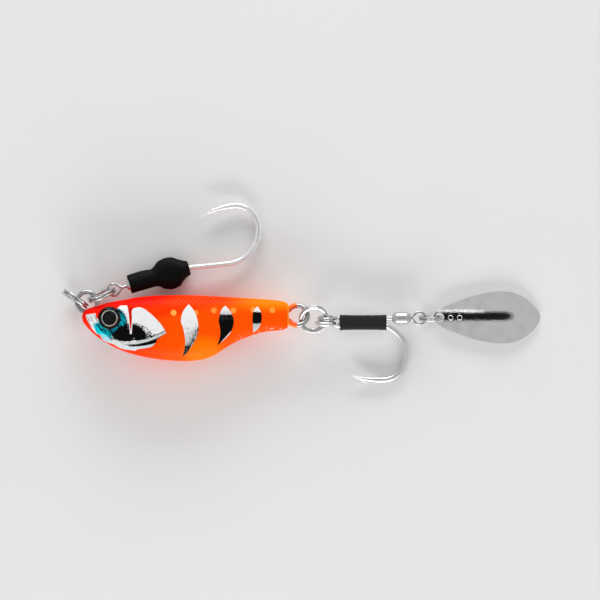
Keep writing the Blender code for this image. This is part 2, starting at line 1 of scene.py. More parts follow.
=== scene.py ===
"""Finish of a spin-tail metal jig: painted casting, foil, wire, hooks, tubes and spinner blade.

Lengths in this file are millimetres, and MM turns them into metres. The lure's own datum is the tip
of its nose along X, the axis of its tail eye along Y, and the middle of its thickness along Z.
"""

import json
import math

import bmesh
import bpy
from bpy.props import FloatProperty, FloatVectorProperty, IntProperty, PointerProperty
from mathutils import Euler, Matrix, Vector, noise
from mathutils.bvhtree import BVHTree


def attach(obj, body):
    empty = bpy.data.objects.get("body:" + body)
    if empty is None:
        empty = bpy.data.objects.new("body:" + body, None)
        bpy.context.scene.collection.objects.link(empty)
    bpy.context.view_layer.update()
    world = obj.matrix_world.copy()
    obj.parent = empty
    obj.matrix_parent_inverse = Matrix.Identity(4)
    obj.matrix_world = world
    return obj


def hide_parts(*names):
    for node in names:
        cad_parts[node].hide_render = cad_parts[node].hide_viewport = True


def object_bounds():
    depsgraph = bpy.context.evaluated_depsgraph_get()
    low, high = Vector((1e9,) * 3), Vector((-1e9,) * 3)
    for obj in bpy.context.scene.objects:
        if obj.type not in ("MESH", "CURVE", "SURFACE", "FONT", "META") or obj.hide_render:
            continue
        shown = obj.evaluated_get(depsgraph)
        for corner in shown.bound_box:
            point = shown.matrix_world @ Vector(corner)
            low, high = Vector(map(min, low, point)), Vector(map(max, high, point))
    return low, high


bl_info = {
    "name": "Spin-tail jig finish",
    "version": (1, 0, 0),
    "blender": (4, 5, 0),
    "location": "View3D > Sidebar > Jig",
    "description": "Builds the detailed pieces and finishes of a spin-tail metal jig",
    "category": "Object",
}

MM = 0.001

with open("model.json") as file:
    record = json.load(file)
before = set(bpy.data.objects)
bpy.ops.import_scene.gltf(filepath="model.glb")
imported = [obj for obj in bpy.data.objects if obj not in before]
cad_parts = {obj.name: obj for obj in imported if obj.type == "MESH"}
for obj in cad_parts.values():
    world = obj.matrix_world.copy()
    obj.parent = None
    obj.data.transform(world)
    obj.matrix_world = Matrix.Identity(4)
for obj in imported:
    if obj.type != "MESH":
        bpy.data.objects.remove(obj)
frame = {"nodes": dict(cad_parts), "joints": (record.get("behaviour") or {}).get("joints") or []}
CAD_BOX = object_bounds()
JOINTS = {joint["name"]: joint for joint in frame["joints"]}

# Casting: x, then y or half thickness.
DORSAL = [(0, -0.45), (0.12, 0.35), (0.5, 0.95), (1.3, 1.5), (3.6, 2.24), (5.7, 2.87), (9.5, 3.6),
          (13.6, 4.3), (17.8, 4.62), (24, 4.74), (30.2, 4.5), (36.6, 4.13), (42.1, 3.78),
          (46.3, 3.4), (47.7, 2.95), (48.3, 2.2)]
VENTRAL = [(0, -0.45), (0.12, -1.2), (0.42, -1.75), (1.56, -3.17), (3.2, -4.74), (5.3, -6.2),
           (8.4, -7.86), (11.5, -9.0), (15.7, -9.94), (19.9, -10.5), (24, -10.73), (27.8, -10.4),
           (30.7, -9.43), (32.6, -8.24), (34.9, -6.8), (37.3, -5.62), (40.2, -4.55),
           (43.3, -3.78), (46.9, -3.4), (47.9, -2.95), (48.3, -2.2)]
THICKNESS = [(0, 0.35), (0.12, 0.9), (0.42, 1.4), (1.56, 2.15), (3.2, 2.8), (5.3, 3.4),
             (8.4, 4.0), (12, 4.5), (16, 4.8), (22, 4.9), (27, 4.65), (32, 4.0), (38, 3.2),
             (44, 2.5), (47.3, 2.15), (48, 1.85), (48.3, 1.45)]
BODY_LENGTH = 48.3
# The flat on each flank and how softly it starts, then how square the sections are in y and z.
FLANK_Z, FLAT_BLEND, ROUND_Y, ROUND_Z = 4.5, 0.5, 0.92, 0.78

# Wire through the casting.
NOSE_EYE, NOSE_EYE_R = (1.19, 3.1), 2.35
NOSE_LEG = [(3.62, 1.4), (3.58, 2.3)]
TAIL_EYE, TAIL_EYE_R, TAIL_EYE_TILT = (50.26, 0.0), 2.39, -17.0
WIRE_RUN = [(3.3, 0.75), (20, 0.75), (40, 0.75)]
TAIL_ENTRY = [(45.0, 0.8), (47.3, 0.85)]
TAIL_END = [(47.4, -0.95), (46.2, -0.8)]
# Where the tail eye begins to lean, and where its lacquer thickens and ends, all in x.
LEAN_FROM, LEAN_TO = 43.0, 47.5
COAT_FROM, COAT_TO, PAINT_LINE = 40, 42, 50.15

# Eyes in the flanks.
EYE_AT, EYE_TILT, EYE_SEAT = (7.2, -0.63), 10.5, 2.95
EYE_RIM, SEAT_GAP, SEAT_BORE = (6.62, -0.63), 0.06, 4.0

# Foil outlines on the flank.
CHEEK_FRONT = [(0.9, 0.15), (3.3, 0.5), (3.5, -0.55)]
CHEEK_ROUND_EYE = (2.62, 187, 412)
CHEEK_TOP = [(9.1, 2.25), (10.65, 2.3), (10.95, 1.4), (11.15, 0.2), (11.3, -1.6), (11.56, -3.75),
             (11.75, -2.8), (11.88, -0.6), (11.8, 0.95), (12.05, 1.5), (12.95, 1.82),
             (13.9, 1.86), (14.85, 1.45), (16.1, 0.5), (17.35, -0.65), (18.5, -1.9),
             (19.25, -3.0), (19.85, -4.1)]
CHEEK_LOWER = [(19.2, -4.5), (18.5, -5.0), (17.65, -5.6), (17.5, -6.2), (17.0, -6.8),
               (16.3, -7.35), (15.0, -7.6), (13.8, -7.75), (13.0, -7.9), (12.7, -8.2),
               (11.7, -8.1), (10.1, -7.9), (9.0, -7.6), (8.1, -7.1), (7.4, -6.65), (6.7, -6.45),
               (5.7, -6.2), (4.95, -5.65), (4.5, -4.9), (4.15, -4.35), (3.85, -4.5), (3.2, -3.9),
               (2.3, -2.9), (1.6, -1.55), (1.1, -0.35)]
SLASHES = [
    [(25.05, 2.55), (26.1, 1.35), (26.9, -0.4), (27.3, -2.2), (27.25, -3.8), (26.7, -5.5),
     (25.6, -7.3), (24.7, -8.6), (23.6, -9.6), (24.05, -7.9), (24.25, -6.3), (24.1, -4.6),
     (23.75, -2.9), (23.3, -1.6), (23.3, -0.7), (23.6, 0.6), (24.25, 1.7)],
    [(33.55, 2.25), (34.5, 1.2), (35.2, 0.0), (35.5, -1.3), (35.2, -3.0), (34.4, -4.5),
     (33.1, -5.8), (31.65, -7.0), (32.2, -5.4), (32.4, -4.0), (32.25, -2.5), (32.0, -1.2),
     (32.25, 0.1), (32.75, 1.5)],
    [(41.0, 2.1), (41.7, 1.0), (42.0, -0.5), (41.7, -2.1), (41.1, -3.1), (40.0, -4.0),
     (39.95, -2.7), (39.85, -1.2), (39.95, 0.4), (40.25, 1.3)],
]
# Pale dots: x, y, strength.
GLOW_DOTS = [(21.55, 0.6, 0.9), (26.6, 0.55, 0.6), (30.9, 1.15, 0.55), (35.4, 1.15, 0.62),
             (40.05, 1.3, 0.6), (44.45, 1.2, 0.6)]

# Split rings and how they hang.
LARGE_RING, BLADE_RING = (7.0, 0.92, 0.55), (5.8, 0.7, 0.45)
RING_JOG_FROM, RING_JOG_TO, RING_END, COIL_GAP = 300.0, 352.0, 652.0, 0.08
LINE_RING_AT, LINE_RING_TURN = (-2.72, 0.72, -0.5), (86, 0, -33)
ASSIST_RING_AT, ASSIST_RING_TURN = (3.41, 1.7, -0.5), (98, 0, 22)
TAIL_RING_AT, TAIL_RING_TURN, TAIL_RING_SPIN = (3.84, -0.9, -0.05), (28, 5, 0), 250
BLADE_RING_TURN, BLADE_RING_LEAN, BLADE_RING_SPIN = (90, 0, 0), 6.0, 60
BLADE_HOLE_ANGLE, BLADE_PITCH = -38.0, 2.1

# Swivels: x, radius.
BARREL_LENGTH = 4.4
BARREL_OUTER = [(0, 0.5), (0, 0.72), (0.1, 0.86), (0.35, 1.05), (0.8, 1.33), (1.05, 1.43),
                (1.25, 1.45), (3.15, 1.45), (3.35, 1.43), (3.6, 1.33), (4.05, 1.05), (4.3, 0.86),
                (4.4, 0.72), (4.4, 0.5)]
BARREL_INNER = [(3.7, 0.5), (3.7, 1.05), (0.7, 1.05), (0.7, 0.5)]
ASSIST_BARREL_X, TAIL_BARREL_X, TAIL_ROLL = 3.1, 15.2, 9
SWIVEL_EYE_R, SHANK_R, HEAD_R, HEAD_DEPTH = 1.42, 0.4, 0.78, 0.85

# Hooks, rod and tubes.
ASSIST_HOOK_EYE, ASSIST_HOOK_EYE_R = (16.3, 0.0), 1.3
ASSIST_BEND = [(18.9, 0.0), (21.5, -0.5), (25, -1.12), (29, -1.7), (32.2, -0.97), (34.8, 0.98),
               (36.4, 3.7), (36.75, 6.5), (35.85, 8.9), (33.5, 10.8), (31.1, 11.3), (28.8, 11.4),
               (26.9, 11.3), (24.2, 10.8)]
TAIL_HOOK_EYE, TAIL_HOOK_EYE_R = (-0.55, -1.15), 1.75
TAIL_BEND = [(1.75, -1.5), (3.0, -1.83), (6.0, -1.83), (10.0, -1.83), (13.9, -1.88),
             (15.25, -2.66), (16.8, -3.95), (17.9, -5.5), (18.6, -9.0), (17.6, -12.5),
             (16.1, -13.9), (14.3, -14.6), (11.9, -14.7), (9.6, -14.5), (7.1, -14.0), (5.2, -13.3)]
BARB_AT = 0.9
ROD_EYE_X, ROD_EYE_R, ROD_EYE_WIRE_R, ROD_R = -0.25, 1.6, 0.47, 0.43
SLEEVE_FROM, SLEEVE_TO, SLEEVE_GAP, SHANK_DROP = 2.9, 13.8, 0.1, 1.83
# Assist tube: x, reach above and below the swivel's axis, half thickness.
TUBE = [(3.8, 2.4, 2.0, 2.2), (6.8, 2.5, 2.0, 2.2), (8.6, 2.4, 1.97, 2.1), (9.6, 2.25, 2.0, 2.05),
        (10.4, 2.6, 2.2, 2.05), (11.7, 3.55, 3.2, 2.2), (13.5, 3.85, 3.7, 2.35),
        (15.0, 3.6, 3.5, 2.45), (16.5, 2.65, 2.4, 2.5), (17.4, 2.1, 1.9, 2.3),
        (18.3, 1.75, 1.6, 1.8)]

# Blade, from its hole: x, half width.
BLADE = [(-1.28, 0), (-1.2, 0.6), (-0.75, 1.25), (0.42, 2.05), (1.85, 2.75), (4.46, 3.8),
         (7.8, 4.95), (11.2, 5.75), (14.9, 6.1), (17.3, 5.85), (19.3, 5.05), (21.2, 3.75),
         (22.55, 2.35), (23.3, 1.25), (23.69, 0)]
BLADE_STAMPS = [(2.6, -0.05), (4.7, -0.05)]

# Stage: the overhead card's height in metres, and how far the view's middle is from the lure's.
CARD_HEIGHT, VIEW_SHIFT = 1.2, (-0.31, -1.61, 0)


# ==== settings that a user would change
def length_setting(name, description, millimetres, precision=5):
    return FloatProperty(name=name, description=description, default=millimetres * MM,
                         unit="LENGTH", precision=precision)


def colour_setting(name, description, *default):
    return FloatVectorProperty(name=name, description=description, size=3, subtype="COLOR",
                               default=default, min=0, max=1)


class JigPaintSettings(bpy.types.PropertyGroup):
    """Colours of the lacquer on the casting."""

    back: colour_setting("Back", "Red of the nose and back", 1.0, 0.008, 0.002)
    shoulder: colour_setting("Shoulder", "Orange-red under the back", 1.0, 0.04, 0.0)
    flank: colour_setting("Flank", "Orange of the flank", 1.0, 0.085, 0.0)
    tail: colour_setting("Tail", "Yellow-orange of the tail and belly", 1.0, 0.24, 0.0)
    dot: colour_setting("Glow dots", "Pale dots along the flank", 1.0, 0.5, 0.09)
    dot_radius: length_setting("Glow dot radius", "Radius of each pale dot", 0.67)
    scale_pitch: length_setting("Scale pitch", "Spacing of the scale pattern", 1.16)
    # Painted glow: the lacquer gives off its own colour as light under any lamp, standing in for the
    # extra light of fluorescent paint.
    glow: FloatProperty(name="Fluorescence", description="Light given back by the fluorescent paint",
                        default=0.08, min=0, max=1, subtype="FACTOR")


class JigFoilSettings(bpy.types.PropertyGroup):
    """The hot-stamped foil on the cheek and in the slashes."""

    # Painted reflection: the silver is laid nearly matte, standing for the bright light a mirror
    # foil throws back.
    silver: colour_setting("Silver", "Bright foil", 0.96, 0.96, 0.97)
    cyan: colour_setting("Cyan", "Tint beside the eye", 0.0, 0.55, 0.68)
    # Painted reflection: the black areas stand for unlit surroundings mirrored in the foil.
    dark_reflection: colour_setting("Dark", "Black areas of the foil", 0.004, 0.004, 0.004)
    proud: length_setting("Height", "How far the foil stands above the paint", 0.03, 6)
    step: length_setting("Mesh spacing", "Spacing of the foil's mesh", 0.4)


class JigEyeSettings(bpy.types.PropertyGroup):
    """The printed iris and its clear dome."""

    radius: length_setting("Radius", "Radius of the moulded eye", 2.5)
    disc: length_setting("Disc", "Thickness of the printed disc", 0.3)
    dome: length_setting("Dome", "Height of the clear dome", 0.85)
    ring: colour_setting("Ring", "Metallic ring round the pupil", 0.8, 0.62, 0.45)


class JigWireSettings(bpy.types.PropertyGroup):
    """Wires, rings, swivels and hooks."""

    through: length_setting("Through-wire radius", "Radius of the body's wire", 0.57)
    coat: length_setting("Coat", "Thickness of the lacquer on the tail eye", 0.08)
    eye_wire: length_setting("Swivel wire radius", "Radius of the swivels' eyes", 0.26)
    hook: length_setting("Hook wire radius", "Radius of the hooks' wire", 0.62)
    barb: length_setting("Barb length", "Length of the barbs", 1.6)
    sides: IntProperty(name="Sides", description="Sides round each wire", default=20, min=8, max=48)
    steel: colour_setting("Wire colour", "Colour of the drawn wire", 0.54, 0.54, 0.54)
    plate: colour_setting("Hook colour", "Colour of the plated hooks", 0.78, 0.78, 0.79)


class JigTubeSettings(bpy.types.PropertyGroup):
    """The shrink tubes."""

    wall: length_setting("Wall", "Thickness of the assist tube", 0.35)
    sleeve_wall: length_setting("Sleeve wall", "Thickness of the tail sleeve", 0.28)
    black: colour_setting("Assist tube", "Colour of the assist tube", 0.0025, 0.0025, 0.0025)
    grey: colour_setting("Tail sleeve", "Colour of the tail sleeve", 0.022, 0.022, 0.022)


class JigBladeSettings(bpy.types.PropertyGroup):
    """The spinner blade."""

    cup: FloatProperty(name="Cup", description="Fall of the dome per millimetre from the middle, "
                       "squared", default=0.04, min=0, precision=3)
    thickness: length_setting("Thickness", "Thickness of the sheet", 0.4)
    rim: length_setting("Rim", "Width of the bevel round the rim", 0.09, 6)
    hole: length_setting("Hole radius", "Radius of the hole", 1.1)
    stamp: length_setting("Stamp radius", "Radius of the two stamped rings", 0.55)
    nickel: colour_setting("Nickel", "Colour of the plating", 0.76, 0.76, 0.76)


class JigStageSettings(bpy.types.PropertyGroup):
    """Floor, lights and camera."""

    floor: colour_setting("Floor", "Colour of the floor", 0.86, 0.86, 0.86)
    sky: FloatProperty(name="Surround", description="Brightness of the surround", default=0.6,
                       min=0, max=5)
    lamp: FloatProperty(name="Lamps", description="Power of each side lamp in watts", default=3.4,
                        min=0, max=50)
    strip: FloatProperty(name="Strip", description="Brightness of the lit strip", default=1.8,
                         min=0, max=10)
    camera_height: length_setting("Camera height", "Camera above the lure", 900, 3)
    view_width: length_setting("View width", "Width of the view at the lure", 140, 4)


SETTINGS = {"jig_paint": JigPaintSettings, "jig_foil": JigFoilSettings,
            "jig_eye": JigEyeSettings, "jig_wire": JigWireSettings,
            "jig_tube": JigTubeSettings, "jig_blade": JigBladeSettings,
            "jig_stage": JigStageSettings}


def lengths(group, *names):
    """Length settings in millimetres."""
    values = getattr(bpy.context.scene, group)
    return [getattr(values, name) / MM for name in names]


# ==== places
def place(at=(0, 0, 0), turn=(0, 0, 0)):
    """A matrix for a place in millimetres and a turn in degrees about X, Y and Z."""
    angles = Euler([math.radians(v) for v in turn])
    return Matrix.Translation(Vector(at)) @ angles.to_matrix().to_4x4()


def joint_at(name):
    return Vector(JOINTS[name]["pos_m"]) / MM


def along_axis(origin, axis, roll=0.0):
    """X along the axis, Y level, then rolled by degrees about X."""
    x = Vector(axis).normalized()
    y = Vector((0, 0, 1)).cross(x).normalized()
    turned = Matrix((x, y, x.cross(y))).transposed().to_4x4()
    return Matrix.Translation(origin) @ turned @ Matrix.Rotation(math.radians(roll), 4, "X")


TAIL_JOINT = joint_at("tail_ring_swing")
LURE = Matrix.Translation(TAIL_JOINT - Vector((*TAIL_EYE, 0)))
NOSE_JOINT = Matrix.Translation(joint_at("line_ring_swing"))
ASSIST_UNIT = along_axis(joint_at("assist_hook_spin"), JOINTS["assist_hook_spin"]["axis"])
BARREL_AXIS = Vector(JOINTS["blade_barrel_spin"]["axis"])
TAIL_UNIT = along_axis(joint_at("blade_barrel_spin") - BARREL_AXIS * TAIL_BARREL_X, BARREL_AXIS,
                       TAIL_ROLL)
BLADE_SWIVEL = along_axis(joint_at("blade_eye_spin"), BARREL_AXIS)
BLADE_RING_PLACE = (Matrix.Translation(joint_at("blade_flap")) @ place(turn=BLADE_RING_TURN)
                    @ place(turn=(BLADE_RING_LEAN, 0, 0)))


# ==== shapes
def part_way(value, low, high):
    """How far a value is from low to high, from 0 to 1. low may be the larger."""
    return min(1, max(0, (value - low) / (high - low)))


def interpolate(rows, x, column=1):
    """Value at x on a smooth curve through the rows, with no overshoot between them."""
    last = len(rows) - 2
    k = next((k for k in range(last + 1) if x <= rows[k + 1][0]), last)
    slopes = [(b[column] - a[column]) / (b[0] - a[0]) for a, b in zip(rows, rows[1:])]

    def tangent(j):
        if j in (0, last + 1):
            return slopes[min(j, last)]
        before, after = slopes[j - 1], slopes[j]
        return 0 if before * after <= 0 else 2 * before * after / (before + after)

    x0, x1, y0, y1 = rows[k][0], rows[k + 1][0], rows[k][column], rows[k + 1][column]
    t = part_way(x, x0, x1)
    return (y0 * (2 * t**3 - 3 * t**2 + 1) + y1 * (3 * t**2 - 2 * t**3)
            + (x1 - x0) * (tangent(k) * (t**3 - 2 * t**2 + t) + tangent(k + 1) * (t**3 - t**2)))


def smooth_path(points, per_span):
    """Points on a centripetal Catmull-Rom curve through the given ones."""
    points = [Vector(p) for p in points]
    ends = [2 * points[0] - points[1], *points, 2 * points[-1] - points[-2]]
    path = []
    for p0, p1, p2, p3 in zip(ends, ends[1:], ends[2:], ends[3:]):
        t1 = (p1 - p0).length ** 0.5
        t2 = t1 + (p2 - p1).length ** 0.5
        t3 = t2 + (p3 - p2).length ** 0.5
        for step in range(per_span):
            t = t1 + (t2 - t1) * step / per_span
            a1, a2 = p0.lerp(p1, t / t1), p1.lerp(p2, (t - t1) / (t2 - t1))
            a3 = p2.lerp(p3, (t - t2) / (t3 - t2))
            b1, b2 = a1.lerp(a2, t / t2), a2.lerp(a3, (t - t1) / (t3 - t1))
            path.append(b1.lerp(b2, (t - t1) / (t2 - t1)))
    return [*path, points[-1]]


def arc(centre, radius, start, end, steps, along=(0, 1, 0)):
    """Points on an arc that starts from X, in degrees, and turns towards a second axis."""
    centre, across, along = Vector(centre), Vector((1, 0, 0)), Vector(along)
    turns = [math.radians(start + (end - start) * k / steps) for k in range(steps + 1)]
    return [centre + radius * (math.cos(t) * across + math.sin(t) * along) for t in turns]


def on_axis(*reaches):
    """Points along X."""
    return [Vector((x, 0, 0)) for x in reaches]


def loft(stations, sides, point, capped=True):
    """Extrudes a circle of edges from station to station. point(station, turn) says where each
    vertex goes, and each vertex keeps its own turn round the loop."""
    shape = bmesh.new()
    turn = shape.verts.layers.float.new("turn")
    loop = bmesh.ops.create_circle(shape, cap_ends=False, segments=sides, radius=1)["verts"]
    for vertex in loop:
        vertex[turn] = math.atan2(vertex.co.y, vertex.co.x)
    edges = first = shape.edges[:]
    for number, station in enumerate(stations):
        if number:
            made = bmesh.ops.extrude_edge_only(shape, edges=edges)["geom"]
            edges = [g for g in made if isinstance(g, bmesh.types.BMEdge)]
            loop = [g for g in made if isinstance(g, bmesh.types.BMVert)]
        for vertex in loop:
            vertex.co = point(station, vertex[turn])
    if capped:
        bmesh.ops.contextual_create(shape, geom=first)
        bmesh.ops.contextual_create(shape, geom=edges)
    else:
        bmesh.ops.bridge_loops(shape, edges=first + edges)
    bmesh.ops.recalc_face_normals(shape, faces=shape.faces)
    return shape


def wire(path, radii, sides=None, side_axis=(0, 1, 0), squareness=1.0):
    """A wire along a path. Each radius is a number, or a pair: in the side axis, then across it."""
    tangents = [(b - a).normalized() for a, b in zip(path, path[1:])]
    tangents = [tangents[0], *[(a + b).normalized() for a, b in zip(tangents, tangents[1:])],
                tangents[-1]]
    normal, stations = Vector(side_axis), []
    for point, tangent, radius in zip(path, tangents, radii):
        normal = (normal - normal.dot(tangent) * tangent).normalized()
        wide, thick = radius if isinstance(radius, tuple) else (radius, radius)
        stations.append((point, wide * normal, thick * tangent.cross(normal)))

    def skin(station, turn):
        point, wide, thick = station
        across, up = math.cos(turn), math.sin(turn)
        return (point + math.copysign(abs(across) ** squareness, across) * wide
                + math.copysign(abs(up) ** squareness, up) * thick)

    return loft(stations, sides or bpy.context.scene.jig_wire.sides, skin)


def split_ring(size):
    """Flattened spring wire wound twice, with a jog where it crosses itself and filed ends."""
    outer, width, coil = size
    radius, rise, steps = (outer - width) / 2, coil + COIL_GAP, 160
    path, radii = [], []
    for k in range(steps + 1):
        turn = RING_END * k / steps
        share = part_way(turn, RING_JOG_FROM, RING_JOG_TO)
        height = rise * (share * share * (3 - 2 * share) - 0.5)
        angle = math.radians(turn)
        path.append(Vector((radius * math.cos(angle), radius * math.sin(angle), height)))
        filed = min(1, 0.45 + min(turn, RING_END - turn) / 14)
        radii.append((width / 2 * (0.6 + 0.4 * filed), coil / 2 * filed))
    return wire(path, radii, 16, (1, 0, 0), 0.55)


def revolve(outline, closed=True):
    """An outline of x and radius, spun about X. An open one runs from the axis to the axis."""
    shape = bmesh.new()
    corners = [shape.verts.new((x, r, 0)) for x, r in outline]
    for pair in zip(corners, corners[1:] + corners[:1] if closed else corners[1:]):
        shape.edges.new(pair)
    bmesh.ops.spin(shape, geom=shape.verts[:] + shape.edges[:], cent=(0, 0, 0), axis=(1, 0, 0),
                   angle=2 * math.pi, steps=64, use_merge=True)
    bmesh.ops.remove_doubles(shape, verts=shape.verts, dist=1e-4)
    bmesh.ops.recalc_face_normals(shape, faces=shape.faces)
    return shape


def face_up(shape):
    """Turns an open sheet's faces so that they point up."""
    bmesh.ops.recalc_face_normals(shape, faces=shape.faces)
    if sum(face.normal.z for face in shape.faces) < 0:
        bmesh.ops.reverse_faces(shape, faces=shape.faces)


def mesh_of(name, shape):
    mesh = bpy.data.meshes.new(name)
    shape.to_mesh(mesh)
    shape.free()
    return mesh


def added(name, data):
    """A new object in the scene."""
    made = bpy.data.objects.new(name, data)
    bpy.context.scene.collection.objects.link(made)
    return made


def shade(mesh, sharp):
    mesh.shade_smooth()
    mesh.set_sharp_from_angle(angle=math.radians(sharp))


def finished(name, shape, at, body, finish, stands_for=(), sharp=40):
    """One named piece from a bmesh drawn in millimetres about a place, riding on its body."""
    bmesh.ops.transform(shape, matrix=Matrix.Scale(MM, 4) @ at, verts=shape.verts)
    made = added(name, mesh_of(name, shape))
    shade(made.data, sharp)
    made.data.materials.append(finish)
    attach(made, body)
    if stands_for:
        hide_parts(*stands_for)
    return made


# ==== finishes
class Value:
    """A number that varies over a surface. Arithmetic on it makes Math nodes."""

    def __init__(self, finish, socket):
        self.finish, self.socket = finish, socket

    def math(self, operation, *others):
        made = self.finish.node("ShaderNodeMath", {}, operation=operation)
        for value, socket in zip((self, *others), made.inputs):
            self.finish.put(value, socket)
        return Value(self.finish, made.outputs[0])

    def __add__(self, other):
        return self.math("ADD", other)

    def __sub__(self, other):
        return self.math("SUBTRACT", other)

    def __rsub__(self, other):
        return self.math("MULTIPLY_ADD", -1.0, other)

    def __mul__(self, other):
        return self.math("MULTIPLY", other)

    def __abs__(self):
        return self.math("ABSOLUTE")

    def __or__(self, other):
        """The larger of the two."""
        return self.math("MAXIMUM", other)

    def step(self, low, high):
        """0 below low, 1 above high, smooth between. low may be the larger, to fall instead."""
        made = self.finish.node("ShaderNodeMapRange", {"Value": self, "From Min": low,
                                                       "From Max": high},
                                interpolation_type="SMOOTHSTEP")
        return Value(self.finish, made.outputs[0])


class Finish:
    """A material whose nodes are made with short calls. Its coordinates are the lure's own
    millimetres, taken from the object's coordinates."""

    def __init__(self, name, at=LURE, **constants):
        self.material = bpy.data.materials.new(name)
        self.material.use_nodes = True
        self.tree = self.material.node_tree
        self.shader = self.tree.nodes["Principled BSDF"]
        for socket, value in constants.items():
            self.shader.inputs[socket.replace("_", " ")].default_value = value
        source = self.tree.nodes.new("ShaderNodeTexCoord")
        self.normal = source.outputs["Normal"]
        inverse = at.inverted()
        self.at = self.node("ShaderNodeMapping", {
            "Vector": source.outputs["Object"], "Scale": (1 / MM,) * 3,
            "Rotation": inverse.to_euler(), "Location": inverse.to_translation()}).outputs[0]
        self.x, self.y, self.z = self.parts(self.at)
        self.colour = (0.8, 0.8, 0.8)

    def node(self, kind, inputs, **options):
        made = self.tree.nodes.new(kind)
        for name, value in options.items():
            setattr(made, name, value)
        for name, value in inputs.items():
            self.put(value, made.inputs[name])
        return made

    def put(self, value, socket):
        if isinstance(value, Value):
            value = value.socket
        if isinstance(value, bpy.types.NodeSocket):
            self.tree.links.new(value, socket)
        elif socket.type == "RGBA":
            socket.default_value = (*value, 1)
        else:
            socket.default_value = value

    def parts(self, vector):
        split = self.node("ShaderNodeSeparateXYZ", {"Vector": vector})
        return [Value(self, socket) for socket in split.outputs]

    def vectors(self, operation, *operands):
        made = self.node("ShaderNodeVectorMath", dict(enumerate(operands)), operation=operation)
        return made.outputs

    def scaled(self, scale, vector=None):
        return self.vectors("MULTIPLY", vector or self.at, scale)[0]

    def reach(self, vector):
        """How far a vector reaches from its origin."""
        return Value(self, self.vectors("LENGTH", vector)["Value"])

    def moved(self, scale, turn=0.0, at=(0, 0, 0)):
        """The lure's coordinates shifted to a place, turned by degrees and stretched."""
        turned = self.node("ShaderNodeMapping", {
            "Vector": self.vectors("SUBTRACT", self.at, at)[0],
            "Rotation": (0, 0, math.radians(-turn))}).outputs[0]
        return self.scaled(scale, turned)

    def noise(self, scale, detail=2.0, vector=None, roughness=0.5):
        made = self.node("ShaderNodeTexNoise", {"Vector": vector or self.at, "Scale": scale,
                                                "Detail": detail, "Roughness": roughness})
        return Value(self, made.outputs["Fac"])

    def mix(self, share, first, second):
        made = self.tree.nodes.new("ShaderNodeMix")
        made.data_type = "RGBA"
        for value, socket in ((share, 0), (first, 6), (second, 7)):
            self.put(value, made.inputs[socket])
        return made.outputs[2]

    def lay(self, share, colour):
        """Lays a colour over what is there so far."""
        self.colour = self.mix(share, self.colour, colour)

    def ramp(self, value, *stops):
        made = self.node("ShaderNodeValToRGB", {"Fac": value})
        stops_made = made.color_ramp.elements
        while len(stops_made) < len(stops):
            stops_made.new(0.5)
        for stop, (position, colour) in zip(stops_made, stops):
            stop.position, stop.color = position, (*colour, 1)
        return made.outputs["Color"]

    def blob(self, at, radii, turn=0.0, wobble=0.0, soft=0.15, texture=None):
        """1 inside an ellipse on the flank, with an edge that a texture can make ragged."""
        reach = self.reach(self.moved((1 / radii[0], 1 / radii[1], 0), turn, (*at, 0)))
        if wobble:
            reach += (texture or self.noise(3.0, 4.0)) * wobble - wobble / 2
        return reach.step(1 + soft, 1 - soft)

    def bump(self, height, strength, depth):
        made = self.node("ShaderNodeBump", {"Height": height, "Strength": strength,
                                            "Distance": depth * MM})
        self.put(made.outputs[0], self.shader.inputs["Normal"])

    def use(self, **links):
        for name, value in {"Base_Color": self.colour, **links}.items():
            self.put(value, self.shader.inputs[name.replace("_", " ")])
        return self.material


